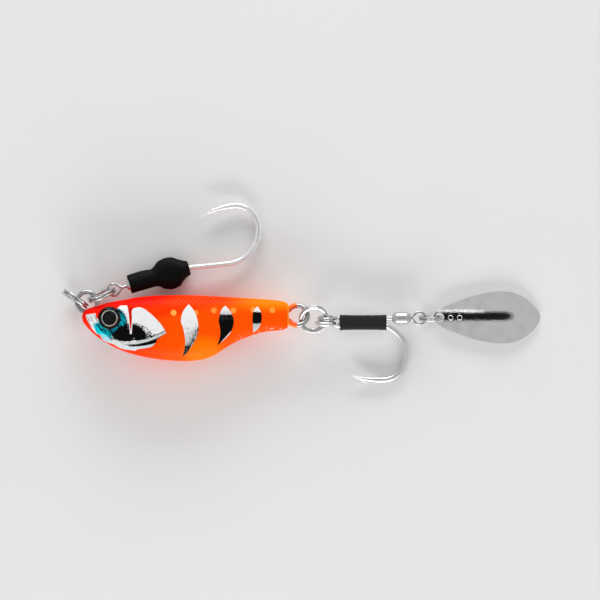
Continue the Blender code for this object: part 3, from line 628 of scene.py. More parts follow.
def lacquer():
    """Red to orange lacquer with a scale pattern on the back, pale dots, specks of glitter and a
    painted glow in its own colour.
    """
    paint = bpy.context.scene.jig_paint
    # The emission is a painted glow in the lacquer's colour.
    f = Finish("lacquer", Specular_IOR_Level=0.04, Emission_Strength=paint.glow)
    fade = (f.x * 0.12 + (f.y | -1.0) * -0.5 + (f.noise(0.35) * 0.5 - 0.25)) * 0.25
    f.colour = f.ramp(fade, (0.05, paint.back), (0.3, paint.shoulder), (0.52, paint.shoulder),
                      (0.75, paint.flank))
    f.lay(f.x.step(32.0, 43.0) * f.y.step(0.2, 2.8) * 0.95, paint.tail)
    f.lay(f.blob((28.2, -8.2), (4.2, 3.0), 15, 0.1, 0.5) * 0.6, paint.tail)

    # Crossed diagonal lines make the scales; they show on the back and fade down the flank.
    round_back = f.y + (2.6 - abs(f.z) | 0.0)
    lines = [(round_back * slant + f.x).math("PINGPONG", paint.scale_pitch / MM / 2)
             .step(0.17, 0.05) for slant in (1.1, -1.1)]
    netting = lines[0] | lines[1]
    shown = f.x.step(17.0, 26.0) * f.x.step(46.0, 36.0) * f.y.step(0.8, 3.4)
    scales = netting * shown * 0.7
    f.lay(scales, (1.0, 0.15, 0.0))
    f.lay((1 - netting) * shown * f.x.step(40.0, 30.0) * f.y.step(1.6, 3.6) * 0.7, paint.back)

    radius = paint.dot_radius / MM
    for x, y, strength in GLOW_DOTS:
        dot = f.blob((x, y), (radius, radius), soft=0.14)
        f.lay(dot * (scales * -0.5 + netting * -0.12 + strength), paint.dot)

    # The lacquer is paler in a thin band round the tail's end and darker in the gill slit. The
    # near-black ring in the eye's socket is painted shade that hides the lit wall of the bore.
    f.lay(f.x.step(47.85, 48.15) * f.x.step(49.0, 48.4) * 0.8, (1.0, 0.38, 0.02))
    f.lay(f.x.step(10.8, 10.9) * f.x.step(12.1, 11.95) * f.y.step(2.1, 1.5)
          * f.y.step(-4.0, -3.7) * 0.75, (0.45, 0.004, 0.002))
    f.lay(f.blob(EYE_RIM, (2.74, 2.68), soft=0.03), (0.02, 0.003, 0.002))

    cells = f.node("ShaderNodeTexVoronoi", {"Vector": f.at, "Scale": 1.9}).outputs
    chosen = f.parts(cells["Color"])[0].step(0.62, 0.64)
    speck = Value(f, cells["Distance"]).step(0.3, 0.22)
    under = f.parts(f.normal)[1].step(-0.45, -0.75)
    glitter = chosen * speck * under * f.x.step(31.0, 40.0)
    f.lay(glitter, (0.9, 0.72, 0.68))
    f.bump(netting * shown + f.noise(6.0, 3.0) * 0.25, 0.25, 0.03)
    return f.use(Emission_Color=f.colour, Roughness=f.noise(1.2, 4.0) * 0.16 + 0.3,
                 Metallic=glitter * 0.6)


def streaks(f, turn, scale, stretch):
    """Fine parallel streaks, turned by degrees on the flank, for the foil's painted reflections."""
    return f.noise(scale, 3.0, f.moved((stretch, 1.0, 0.3), turn), 0.6)


def stamped(f, dark_reflection):
    """Black areas over the silver, which are painted reflections of unlit surroundings, and the
    shallow ripples and hairlines of hot-stamped foil.
    """
    f.lay(dark_reflection, bpy.context.scene.jig_foil.dark_reflection)
    f.bump(f.noise(1.4, 2.0) + f.noise(9.0, 2.0) * 0.3, 0.2, 0.05)
    return f.use(Metallic=dark_reflection * -0.05 + 0.05)


def cheek_foil():
    """Silver gill plate and jaw, a black cheek, and cyan round and under the eye. The black and
    grey areas are painted reflections, and the silver is laid nearly matte as a painted bright
    reflection.
    """
    foil = bpy.context.scene.jig_foil
    f = Finish("cheek_foil", Roughness=0.4, Specular_IOR_Level=0.02)
    grain, fine = streaks(f, -58, 5.0, 0.13), streaks(f, 14, 7.0, 0.18)
    # The silver is laid nearly matte as the foil's painted bright reflection. The grey streaks over
    # it are painted reflections.
    f.colour = foil.silver
    f.lay(grain.step(0.5, 0.58) * f.x.step(5.6, 3.4) * 0.75, (0.1, 0.11, 0.12))
    f.lay(fine.step(0.45, 0.7) * f.x.step(12.0, 14.0) * 0.3, (0.5, 0.51, 0.52))

    # Teal lies round the eye and widens behind and below it, with bright and black streaks that are
    # painted reflections.
    teal = f.blob((7.5, -1.5), (3.25, 3.3), 0, 0.3, 0.07)
    f.lay(teal * f.x.step(3.6, 4.6), (0.0, 0.16, 0.24))
    glint = f.blob((8.9, -1.7), (1.7, 2.7), 20, 0.4, 0.3)
    f.lay(glint * teal * grain.step(0.52, 0.44) * 0.9, foil.cyan)
    f.lay(f.blob((5.1, -4.0), (2.9, 1.3), -48, 0.5, 0.12), foil.cyan)
    f.lay(f.blob((5.2, -4.2), (1.9, 0.62), -50, 0.6, 0.2) * 0.9, (0.0, 0.85, 0.97))
    f.lay(f.blob((6.2, -5.7), (2.4, 0.75), -28, 0.5, 0.25) * grain.step(0.36, 0.5) * 0.85,
          (0.55, 0.68, 0.73))

    # The black cheek, a painted reflection, has a ragged edge and breaks into streaks and specks at
    # both of its ends.
    coarse = f.noise(2.4, 5.0, roughness=0.65)
    dark_reflection = f.blob((10.2, -4.6), (2.9, 1.6), 0, 1.2, 0.04, coarse)
    for at, radii, turn in (((9.5, -3.35), (2.2, 0.95), 32), ((12.9, -4.1), (2.7, 1.6), -38)):
        dark_reflection |= f.blob(at, radii, turn, 1.8, 0.04, coarse)
    for at, radii, turn in (((6.9, -4.5), (2.2, 0.8), -52), ((4.6, -3.0), (2.1, 0.45), -48),
                            ((9.3, -1.2), (1.3, 2.7), 24)):
        dark_reflection |= f.blob(at, radii, turn, 0.5, 0.1) * grain.step(0.46, 0.51)
    dark_reflection |= f.blob((14.0, -4.0), (2.9, 1.7), -35, 0.3, 0.1) * coarse.step(0.5, 0.54)
    dark_reflection |= f.blob((15.3, -4.9), (2.6, 1.3), 16, 0.3, 0.3) * fine.step(0.53, 0.58)
    beside_slit = abs(f.x - 11.6) + (f.y * -0.085 - 0.2)
    dark_reflection *= 1 - beside_slit.step(0.42, 0.3) * f.y.step(-4.45, -4.2)

    # Under it the jaw is a pale band between thin black lines, then a stripe and a second band. The
    # black lines and the stripe are painted reflections.
    rise = f.x - 11.0
    jaw = f.y + (rise * rise * -0.034 + 6.45) + (f.noise(2.0, 2.0) * 0.3 - 0.15)
    below = jaw.step(0.42, 0.3) * f.x.step(6.4, 7.6)
    f.lay(below, f.mix(fine.step(0.48, 0.6), (0.72, 0.75, 0.76), (0.42, 0.44, 0.45)))
    dark_reflection *= 1 - below
    dark_reflection |= (jaw.step(0.3, 0.36) * jaw.step(0.56, 0.5) * f.x.step(13.5, 15.5)
             * grain.step(0.36, 0.42))
    dark_reflection |= jaw.step(-0.3, -0.36) * jaw.step(-0.5, -0.44) * f.x.step(9.5, 11.0)
    back = f.x - 11.3
    stripe = f.y + (back * back * -0.03 + 7.07)
    edge = abs(stripe) - (back * 0.05 + 0.08)
    dark_reflection |= edge.step(0.1, 0.02) * f.x.step(10.6, 11.4)
    f.lay(stripe.step(-0.2, -0.4) * edge.step(0.02, 0.1) * 0.85, (0.58, 0.68, 0.72))
    return stamped(f, dark_reflection)


def slash_foil(number):
    """A silver slash with black set into it: a speckled tip, a large patch or a band. Its black and
    grey areas are painted reflections.
    """
    f = Finish(f"slash_foil_{number + 1}", Roughness=0.4, Specular_IOR_Level=0.02)
    f.colour = bpy.context.scene.jig_foil.silver
    height = f.y + (f.noise(4.0, 3.0) - 0.5)
    fine = streaks(f, 75, 5.0, 0.2)
    if number == 0:
        # Painted reflection: the slash greys towards its lower right and in streaks lower down.
        f.lay((f.x * -0.9 + f.y).step(-25.0, -30.0) * 0.75, (0.34, 0.35, 0.36))
        f.lay(fine.step(0.5, 0.6) * f.y.step(0.0, -5.0) * 0.6, (0.12, 0.12, 0.13))
        dark_reflection = height.step(-6.7, -7.1) * f.noise(5.0, 2.0).step(0.64, 0.58)
        edge = f.y * -0.395 + f.x
        dark_reflection |= edge.step(27.75, 28.2) * f.y.step(-2.2, -3.4) * fine.step(0.47, 0.52)
        dark_reflection *= 1 - edge.step(28.3, 28.38) * f.y.step(-6.2, -6.8)
    elif number == 1:
        # Painted reflection: the slash greys towards its bottom.
        f.lay(f.y.step(1.9, 0.2) * 0.5, (0.45, 0.46, 0.47))
        dark_reflection = height.step(0.32, 0.12)
        dark_reflection -= f.noise(7.0, 1.0).step(0.62, 0.68) * f.y.step(-1.4, -0.4) * 0.35
        edge = f.y * -0.89 + f.x
        dark_reflection *= 1 - edge.step(38.02, 38.14) * f.y.step(-3.4, -4.0)
    else:
        # Painted reflection: the slash turns bluish grey in its lower part.
        f.lay(f.y.step(-1.5, -2.2), (0.55, 0.6, 0.63))
        dark_reflection = height.step(0.85, 0.7) * height.step(-2.0, -1.85)
    return stamped(f, dark_reflection)


def iris_finish(at):
    """Black print with a thin iridescent ring and a faint sheen on the pupil."""
    f = Finish("iris", at, Roughness=0.4, Specular_IOR_Level=0.02)
    reach = f.reach(f.scaled((1, 1, 0)))
    ring = reach.step(1.62, 1.7) * reach.step(1.92, 1.84)
    f.colour = (0.002, 0.0018, 0.0015)
    f.lay(f.blob((-0.1, 0.1), (1.1, 1.0), 0, 0.3, 0.5) * 0.35, (0.02, 0.02, 0.02))
    f.lay(reach.step(1.85, 2.2) * f.noise(2.5, 3.0) * 0.12, (0.12, 0.02, 0.01))
    f.lay(ring, f.ramp(f.noise(1.3, 2.0), (0.35, (0.30, 0.42, 0.62)), (0.5, (0.9, 0.88, 0.8)),
                       (0.65, bpy.context.scene.jig_eye.ring)))
    f.bump(f.noise(8.0, 2.0), 0.1, 0.02)
    return f.use(Metallic=ring * 0.7)


def resin():
    """Clear epoxy with the faintest of ripples."""
    f = Finish("clear_resin", Roughness=0.03, Transmission_Weight=1.0, IOR=1.2,
               Specular_IOR_Level=0.25)
    f.colour = (0.97, 0.97, 0.97)
    f.bump(f.noise(0.9, 1.0), 0.05, 0.02)
    return f.use()


def metal(name, colour, at=LURE, rough=0.2, wear=0.08, drawn=(0.15, 1.0, 1.0), mirror=1.0):
    """Plated or drawn metal: fine lines along it, uneven shine and dulled patches. A mirror below
    1 gives the white, satin look of tin plate."""
    f = Finish(name, at, Metallic=mirror)
    lines, patches = f.noise(14.0, 2.0, f.scaled(drawn)), f.noise(0.8, 4.0)
    dull = [c * 0.7 for c in colour]
    f.colour = colour
    f.lay(patches.step(0.45, 0.75) * 0.5, dull)
    f.lay(lines.step(0.5, 0.7) * 0.2, dull)
    f.bump(lines + patches * 0.5, 0.25, 0.012)
    return f.use(Roughness=patches * wear + (rough - wear / 2))


def through_wire_finish():
    """Bare wire at the nose, and lacquer that runs from the casting onto half of the tail eye."""
    paint, steel = bpy.context.scene.jig_paint, bpy.context.scene.jig_wire.steel
    f = Finish("through_wire")
    runny = f.noise(2.5, 2.0) * 0.5 + f.x
    coated = runny.step(PAINT_LINE + 0.36, PAINT_LINE + 0.24) * f.x.step(10.0, 12.0)
    patches = f.noise(0.9, 4.0)
    f.colour = steel
    f.lay(patches.step(0.4, 0.75), [c * 0.6 for c in steel])
    reach = f.reach(f.moved((1, 1, 0), 0, (*TAIL_EYE, 0)))
    f.lay(coated, f.mix(reach.step(2.0, 2.9), paint.flank, paint.tail))
    f.bump(patches, 0.2, 0.02)
    return f.use(Metallic=1 - coated, Roughness=patches * 0.12 + 0.2)


def rubber(name, colour, at, pale):
    """Matt shrink tube: a soft sheen, fine pores, creases round it and rubbed, paler ridges."""
    f = Finish(name, at, Specular_IOR_Level=0.08)
    pores, creases = f.noise(11.0, 3.0), f.noise(1.6, 3.0, f.scaled((1.6, 0.35, 0.35)))
    f.colour = colour
    f.lay(f.noise(0.7, 4.0).step(0.5, 0.75) * 0.6, (pale,) * 3)
    f.bump(creases * 1.6 + pores, 0.4, 0.05)
    return f.use(Roughness=pores * 0.2 + 0.42)


def nickel(at):
    """Bright plated sheet, slightly brushed along its length, with a painted highlight round its
    rim.
    """
    plating = bpy.context.scene.jig_blade.nickel
    f = Finish("nickel_blade", at, Metallic=1.0)
    brushed = f.noise(9.0, 3.0, f.scaled((0.12, 1.0, 1.0)))
    f.colour = plating
    f.lay(f.noise(0.35, 3.0).step(0.4, 0.7), [c * 0.9 for c in plating])
    # Painted highlight: the rim's sloping faces are laid white.
    f.lay(f.parts(f.normal)[2].step(0.86, 0.74), (1.0, 1.0, 1.0))
    f.bump(brushed * 0.3 + f.noise(2.6, 3.0), 0.5, 0.03)
    return f.use(Roughness=brushed * 0.05 + 0.05)


# ==== casting and foil
def body_point(x, turn):
    """A point on the casting's skin: flattened on the flanks, with soft edges to the flats."""
    top, bottom, half = (interpolate(rows, x) for rows in (DORSAL, VENTRAL, THICKNESS))
    middle, height = (top + bottom) / 2, (top - bottom) / 2
    up, out = math.sin(turn), math.cos(turn)
    y = middle + height * math.copysign(abs(up) ** ROUND_Y, up)
    z = half * abs(out) ** ROUND_Z
    blend = max(0.0, FLAT_BLEND - abs(z - FLANK_Z)) ** 2 / (4 * FLAT_BLEND)
    return Vector((x, y, math.copysign(min(z, FLANK_Z) - blend, out)))


def casting_shape():
    count, nose = 96, 0.02
    shares = [k / count for k in range(count + 1)]
    eased = [(1 - math.cos(math.pi * s)) / 2 * 0.65 + s * 0.35 for s in shares]
    return loft([nose + (BODY_LENGTH - nose) * s for s in eased], 72, body_point)


def foil_patch(outline, skin, side):
    """A thin patch cut to an outline, pressed down on the casting's left or right flank."""
    step, proud = lengths("jig_foil", "step", "proud")
    shape = bmesh.new()
    corners = [shape.verts.new((p[0], p[1], 0)) for p in outline]
    edges = [shape.edges.new(pair) for pair in zip(corners, [*corners[1:], corners[0]])]
    bmesh.ops.triangle_fill(shape, use_beauty=True, edges=edges)
    for axis, normal in enumerate((Vector((1, 0, 0)), Vector((0, 1, 0)))):
        low, high = (pick(p[axis] for p in outline) for pick in (min, max))
        for k in range(1, int((high - low) / step) + 1):
            bmesh.ops.bisect_plane(shape, geom=shape.verts[:] + shape.edges[:] + shape.faces[:],
                                   plane_co=normal * (low + k * step), plane_no=normal, dist=1e-5)
    bmesh.ops.remove_doubles(shape, verts=shape.verts, dist=1e-4)
    for vertex in shape.verts:
        start = Vector((vertex.co.x, vertex.co.y, 2 * FLANK_Z))
        hit, normal, _, _ = skin.ray_cast(start, Vector((0, 0, -1)))
        if hit is None:
            raise RuntimeError(f"the foil runs off the casting at {tuple(vertex.co)}")
        vertex.co = hit + normal * proud
    face_up(shape)
    bmesh.ops.solidify(shape, geom=shape.faces[:], thickness=2.5 * proud)
    if side < 0:
        bmesh.ops.scale(shape, vec=(1, 1, -1), verts=shape.verts)
    bmesh.ops.recalc_face_normals(shape, faces=shape.faces)
    return shape


def eye_seat(side):
    """Where an eye sits: on the left flank facing up, or on the right flank facing down."""
    return LURE @ place((*EYE_AT, 0), (0 if side > 0 else 180, -side * EYE_TILT, 0))


class JIG_OT_casting(bpy.types.Operator):
    """Build the painted casting with its two eye seats"""

    bl_idname = "jig.casting"
    bl_label = "Casting"

    def execute(self, context):
        body = finished("casting", casting_shape(), LURE, "jig", lacquer(),
                        ["jig_body"], 60)
        radius = lengths("jig_eye", "radius")[0] + SEAT_GAP
        middle = Matrix.Translation((0, 0, EYE_SEAT - SEAT_GAP + SEAT_BORE / 2))
        for side in (1, -1):
            bore = bmesh.new()
            bmesh.ops.create_cone(bore, segments=64, radius1=radius, radius2=radius,
                                  depth=SEAT_BORE, cap_ends=True, matrix=middle)
            bmesh.ops.transform(bore, matrix=Matrix.Scale(MM, 4) @ eye_seat(side), verts=bore.verts)
            tool = added("eye_bore", mesh_of("eye_bore", bore))
            cut = body.modifiers.new("eye_seat", "BOOLEAN")
            cut.operation, cut.object, cut.solver = "DIFFERENCE", tool, "EXACT"
            context.view_layer.objects.active = body
            with context.temp_override(object=body, active_object=body):
                bpy.ops.object.modifier_apply(modifier=cut.name)
            bpy.data.objects.remove(tool)
        shade(body.data, 50)
        return {"FINISHED"}


class JIG_OT_foil(bpy.types.Operator):
    """Press the foil cheeks and slashes onto both flanks"""

    bl_idname = "jig.foil"
    bl_label = "Foil"

    def execute(self, context):
        shape = casting_shape()
        skin = BVHTree.FromBMesh(shape)
        shape.free()
        radius, start, end = CHEEK_ROUND_EYE
        round_eye = [tuple(p.xy) for p in arc((*EYE_RIM, 0), radius, start, end, 30)]
        patches = [("cheek_foil", [*CHEEK_FRONT, *round_eye, *CHEEK_TOP, *CHEEK_LOWER],
                    cheek_foil())]
        for number, outline in enumerate(SLASHES):
            tip = max(range(len(outline)), key=lambda k: -outline[k][1])
            curved = []
            for edge in (outline[:tip + 1], outline[tip:] + outline[:1]):
                curved += [tuple(p.xy) for p in smooth_path([(*p, 0) for p in edge], 5)[:-1]]
            patches.append((f"slash_foil_{number + 1}", curved, slash_foil(number)))
        for name, outline, finish in patches:
            for flank, side in (("left", 1), ("right", -1)):
                finished(f"{flank}_{name}", foil_patch(outline, skin, side), LURE, "jig",
                         finish, sharp=50)
        return {"FINISHED"}


class JIG_OT_eyes(bpy.types.Operator):
    """Set the printed discs and clear domes into their seats"""

    bl_idname = "jig.eyes"
    bl_label = "Eyes"

    def execute(self, context):
        radius, disc, dome = lengths("jig_eye", "radius", "disc", "dome")
        base, top = EYE_SEAT + disc + 0.03, EYE_SEAT + disc
        printed = [(EYE_SEAT, 0.0), (EYE_SEAT, radius - 0.06), (EYE_SEAT + 0.06, radius),
                   (top - 0.05, radius), (top, radius - 0.05), (top, 0.0)]
        edge = 0.15
        domed = [(base, 0.0), (base, radius - 0.03), (base + 0.03, radius), (base + edge, radius)]
        domed += [(base + edge + (dome - edge) * math.sin(math.radians(a)),
                   radius * math.cos(math.radians(a))) for a in range(6, 90, 6)]
        domed.append((base + dome, 0.0))
        clear = resin()
        for name, side in (("left", 1), ("right", -1)):
            seat = eye_seat(side)
            turned = seat @ Matrix.Rotation(math.radians(-90), 4, "Y")
            finished(f"{name}_iris", revolve(printed, closed=False), turned, "jig",
                     iris_finish(seat), [f"{name}_eye_disc"])
            finished(f"{name}_lens", revolve(domed, closed=False), turned, "jig",
                     clear, [f"{name}_eye_dome"], 50)
        return {"FINISHED"}


# ==== wires, rings, swivels, hooks
class JIG_OT_through_wire(bpy.types.Operator):
    """Bend the wire that runs through the casting from eye to eye"""

    bl_idname = "jig.through_wire"
    bl_label = "Through-wire"

    def execute(self, context):
        nose = arc((*NOSE_EYE, 0), NOSE_EYE_R, 0, 270, 36)
        tail = arc((*TAIL_EYE, 0), TAIL_EYE_R, 145, -145, 40)
        leg, run, entry, end = ([Vector((x, y, 0)) for x, y in rows]
                                for rows in (NOSE_LEG, WIRE_RUN, TAIL_ENTRY, TAIL_END))
        path = smooth_path([*leg, *nose, *run, *entry, *tail, *end], 2)
        for point in path:
            tilt = math.radians(TAIL_EYE_TILT) * part_way(point.x, LEAN_FROM, LEAN_TO)
            point.yz = point.y * math.cos(tilt), point.y * math.sin(tilt)
        bare, coat = lengths("jig_wire", "through", "coat")
        radii = [bare + coat * part_way(p.x, COAT_FROM, COAT_TO) * (p.x < PAINT_LINE)
                 for p in path]
        finished("wire_eye_to_eye", wire(path, radii, side_axis=(0, 0, 1)), LURE, "jig",
                 through_wire_finish(), ["through_wire"])
        return {"FINISHED"}


class JIG_OT_rings(bpy.types.Operator):
    """Wind the four split rings"""

    bl_idname = "jig.rings"
    bl_label = "Split rings"

    def execute(self, context):
        tail = Matrix.Translation(TAIL_JOINT) @ place(TAIL_RING_AT, TAIL_RING_TURN)
        for name, size, at in (
                ("line", LARGE_RING, NOSE_JOINT @ place(LINE_RING_AT, LINE_RING_TURN)),
                ("assist", LARGE_RING, NOSE_JOINT @ place(ASSIST_RING_AT, ASSIST_RING_TURN)),
                ("tail", LARGE_RING, tail @ place(turn=(0, 0, TAIL_RING_SPIN))),
                ("blade", BLADE_RING, BLADE_RING_PLACE @ place(turn=(0, 0, BLADE_RING_SPIN)))):
            finish = metal(f"{name}_ring_coil_steel", context.scene.jig_wire.steel, at, 0.26, 0.14,
                           (1.0, 1.0, 6.0))
            finished(f"{name}_ring_coil", split_ring(size), at, f"{name}_ring",
                     finish, [f"{name}_split_ring"])
        return {"FINISHED"}


def swivel_eye(seat, facing):
    """An eye whose ends are twisted together into a neck, and a headed shank that runs into a
    barrel from its seat."""
    middle = 0 if facing > 0 else 180
    eye = arc((0, 0, 0), SWIVEL_EYE_R, middle - 42, middle - 318, 28)
    neck = facing * (SWIVEL_EYE_R + 0.5)
    apart = Vector((0, 0.16 * facing, 0))
    start = [Vector((neck + facing * 0.25, 0, 0)) - apart * 0.6,
             Vector((neck - facing * 0.1, 0, 0)) - apart]
    head = seat + facing * HEAD_DEPTH
    shank = on_axis(neck, (neck + head) / 2, head - facing * 0.02)
    upset = on_axis(*(head + facing * x for x in (0.0, 0.02, 0.2, 0.43, 0.45)))
    thin = lengths("jig_wire", "eye_wire")[0]
    radii = [thin] * (2 + len(eye)) + [0.34] + [SHANK_R] * 3 + [HEAD_R, 0.8, HEAD_R, 0.5]
    return wire([*start, *eye, *shank, *upset], radii, 16, (0, 0, 1))


class JIG_OT_swivels(bpy.types.Operator):
    """Build both swivels: a rolled barrel and the eyes that show"""

    bl_idname = "jig.swivels"
    bl_label = "Swivels"

    def execute(self, context):
        steel = context.scene.jig_wire.steel
        bright = [min(1, c * 1.15) for c in steel]
        reach = (joint_at("blade_barrel_spin") - joint_at("blade_eye_spin")).length
        for name, unit, x, body, node in (
                ("assist_barrel", ASSIST_UNIT, ASSIST_BARREL_X, "assist_hook",
                 "assist_swivel_barrel"),
                ("tail_barrel", TAIL_UNIT, TAIL_BARREL_X, "blade_barrel", "blade_swivel_barrel")):
            at = unit @ place((x, 0, 0))
            finish = metal(f"{name}_plate", bright, at, 0.32, 0.1, (1.0, 0.2, 0.2))
            finished(name, revolve([*BARREL_OUTER, *BARREL_INNER]), at, body,
                     finish, [node], 35)
        for side, at, seat, facing, body in (
                ("assist", ASSIST_UNIT, ASSIST_BARREL_X, 1, "assist_eye"),
                ("blade", BLADE_SWIVEL, BARREL_LENGTH - reach, -1, "blade_eye")):
            finish = metal(f"{side}_swivel_wire", steel, at, 0.22)
            finished(f"{side}_front_eye", swivel_eye(seat, facing), at, body,
                     finish, [f"{side}_swivel_eye"])
        hidden = metal("hidden_swivel_wire", steel, ASSIST_UNIT, 0.25)
        for node in ("assist_rear_eye", "assist_hook_ring"):
            frame["nodes"][node].data.materials.clear()
            frame["nodes"][node].data.materials.append(hidden)
        return {"FINISHED"}


def hook_shape(eye_centre, eye_r, bend):
    """A hook in one wire: an eye across the bend's plane, a forged bend and a tapered point."""
    hook_r, barb = lengths("jig_wire", "hook", "barb")
    eye = arc((*eye_centre, 0), eye_r, -38, -345, 30, along=(0, 0, 1))
    curve = smooth_path([(x, y, 0) for x, y in bend], 10)
    reaches = [0.0]
    for a, b in zip(curve, curve[1:]):
        reaches.append(reaches[-1] + (b - a).length)
    radii = [hook_r] * len(eye)
    for reach in reaches:
        share = reach / reaches[-1]
        forged = part_way(share, 0.3, 0.5) * part_way(share, 0.95, 0.75)
        taper = 1 - part_way(share, 0.8, 1.0) ** 1.6 * 0.95
        radii.append((hook_r * (1 + 0.15 * forged) * taper, hook_r * (1 - 0.08 * forged) * taper))
    shape = wire([*eye, *curve], radii)

    # The barb is a blade-like sliver cut up from the inside of the point.
    k = round(BARB_AT * (len(curve) - 1))
    root, ahead = curve[k], (curve[k + 1] - curve[k]).normalized()
    inward = Vector((-ahead.y, ahead.x, 0))
    spine = [root + ahead * forward + inward * rise for forward, rise in (
        (0.9, 0.1), (0.3, 0.3), (-0.45 * barb, 0.62), (-0.85 * barb, 0.86), (-barb, 0.95))]
    sizes = [(0.1, 0.12), (0.28, 0.3), (0.24, 0.26), (0.12, 0.16), (0.02, 0.03)]
    sliver = mesh_of("sliver", wire(spine, sizes, 10))
    shape.from_mesh(sliver)
    bpy.data.meshes.remove(sliver)
    return shape


class JIG_OT_hooks(bpy.types.Operator):
    """Bend the two hooks and the rod that carries the blade's swivel"""

    bl_idname = "jig.hooks"
    bl_label = "Hooks and rod"

    def execute(self, context):
        wires = context.scene.jig_wire
        bright = [min(1, c * 1.2) for c in wires.plate]
        finish = metal("assist_hook_plate", bright, ASSIST_UNIT, 0.14, 0.06, mirror=0.5)
        finished("assist_hook_wire", hook_shape(ASSIST_HOOK_EYE, ASSIST_HOOK_EYE_R, ASSIST_BEND),
                 ASSIST_UNIT, "assist_hook", finish, ["assist_hook"])
        finish = metal("tail_hook_plate", wires.plate, TAIL_UNIT, 0.34, 0.1)
        finished("tail_hook_wire", hook_shape(TAIL_HOOK_EYE, TAIL_HOOK_EYE_R, TAIL_BEND),
                 TAIL_UNIT, "tail_hook", finish, ["tail_hook"])
        eye = arc((ROD_EYE_X, 0, 0), ROD_EYE_R, -35, -345, 30, along=(0, 0, 1))
        head = TAIL_BARREL_X + HEAD_DEPTH
        shaft = on_axis(2.2, 3.2, 9, head - 0.02, head, head + 0.02, head + 0.43, head + 0.45)
        radii = [ROD_EYE_WIRE_R] * (len(eye) + 1) + [ROD_R] * 4 + [HEAD_R, HEAD_R, 0.5]
        finish = metal("rod_wire", wires.steel, TAIL_UNIT, 0.24)
        finished("swivel_rod", wire([*eye, *shaft], radii), TAIL_UNIT, "tail_hook",
                 finish, ["spin_rod"])
        return {"FINISHED"}


# ==== tubes and blade
def tube(first, last, count, skin):
    """A tube with a wall. skin(x, inside, up, out) says where its outer and inner skins lie."""
    outer = [(first + (last - first) * k / count, 0) for k in range(count + 1)]
    stations = outer + [(x, 1) for x, _ in reversed(outer)]
    return loft(stations, 48, lambda station, turn: skin(*station, math.sin(turn), math.cos(turn)),
                capped=False)


def assist_skin(x, inside, up, out):
    """Shrunk over the swivel, the hidden ring and the hook's eye, a little lumpy, with thin lips."""
    wall = lengths("jig_tube", "wall")[0]
    reach = interpolate(TUBE, x, 1 if up > 0 else 2)
    lumps = 0.05 * noise.noise(Vector((x * 0.8, up * 2, out * 2)))
    lip = 0.12 * max(0, 1 - min(x - TUBE[0][0], TUBE[-1][0] - x) / 0.15)
    inset = inside * (wall - lip) + (lumps + lip) * (1 - inside)
    return Vector((x, (reach - inset) * up, (interpolate(TUBE, x, 3) - inset) * out))


def sleeve_skin(x, inside, up, out):
    """Drawn in along its middle, round the rod above and the hook's shank below."""
    wall, hook_r = *lengths("jig_tube", "sleeve_wall"), *lengths("jig_wire", "hook")
    middle = (SLEEVE_FROM + SLEEVE_TO) / 2
    share = abs(x - middle) / (SLEEVE_TO - middle)
    waist = -0.1 * (1 - share**3) + 0.04 * noise.noise(Vector((x, up * 2, 5)))
    extra = SLEEVE_GAP if inside else SLEEVE_GAP + wall + waist
    lower, upper = hook_r + extra, ROD_R + extra
    drop, radius = (0, upper) if up > (lower - upper) / SHANK_DROP else (-SHANK_DROP, lower)
    return Vector((x, drop + radius * up, radius * out))


class JIG_OT_tubes(bpy.types.Operator):
    """Shrink the assist tube and the tail sleeve onto what they hold"""

    bl_idname = "jig.tubes"
    bl_label = "Shrink tubes"

    def execute(self, context):
        tubes = context.scene.jig_tube
        finished("assist_shrink_tube", tube(TUBE[0][0], TUBE[-1][0], 72, assist_skin), ASSIST_UNIT,
                 "assist_hook",
                 rubber("assist_rubber", tubes.black, ASSIST_UNIT, 0.007), ["assist_tube"])
        finished("tail_shrink_sleeve", tube(SLEEVE_FROM, SLEEVE_TO, 48, sleeve_skin), TAIL_UNIT,
                 "tail_hook",
                 rubber("sleeve_rubber", tubes.grey, TAIL_UNIT, 0.032), ["tail_sleeve"])
        return {"FINISHED"}


def blade_dome(x, y):
    """Height of the blade's domed outer side."""
    return bpy.context.scene.jig_blade.cup * (interpolate(BLADE, x) ** 2 - y * y)


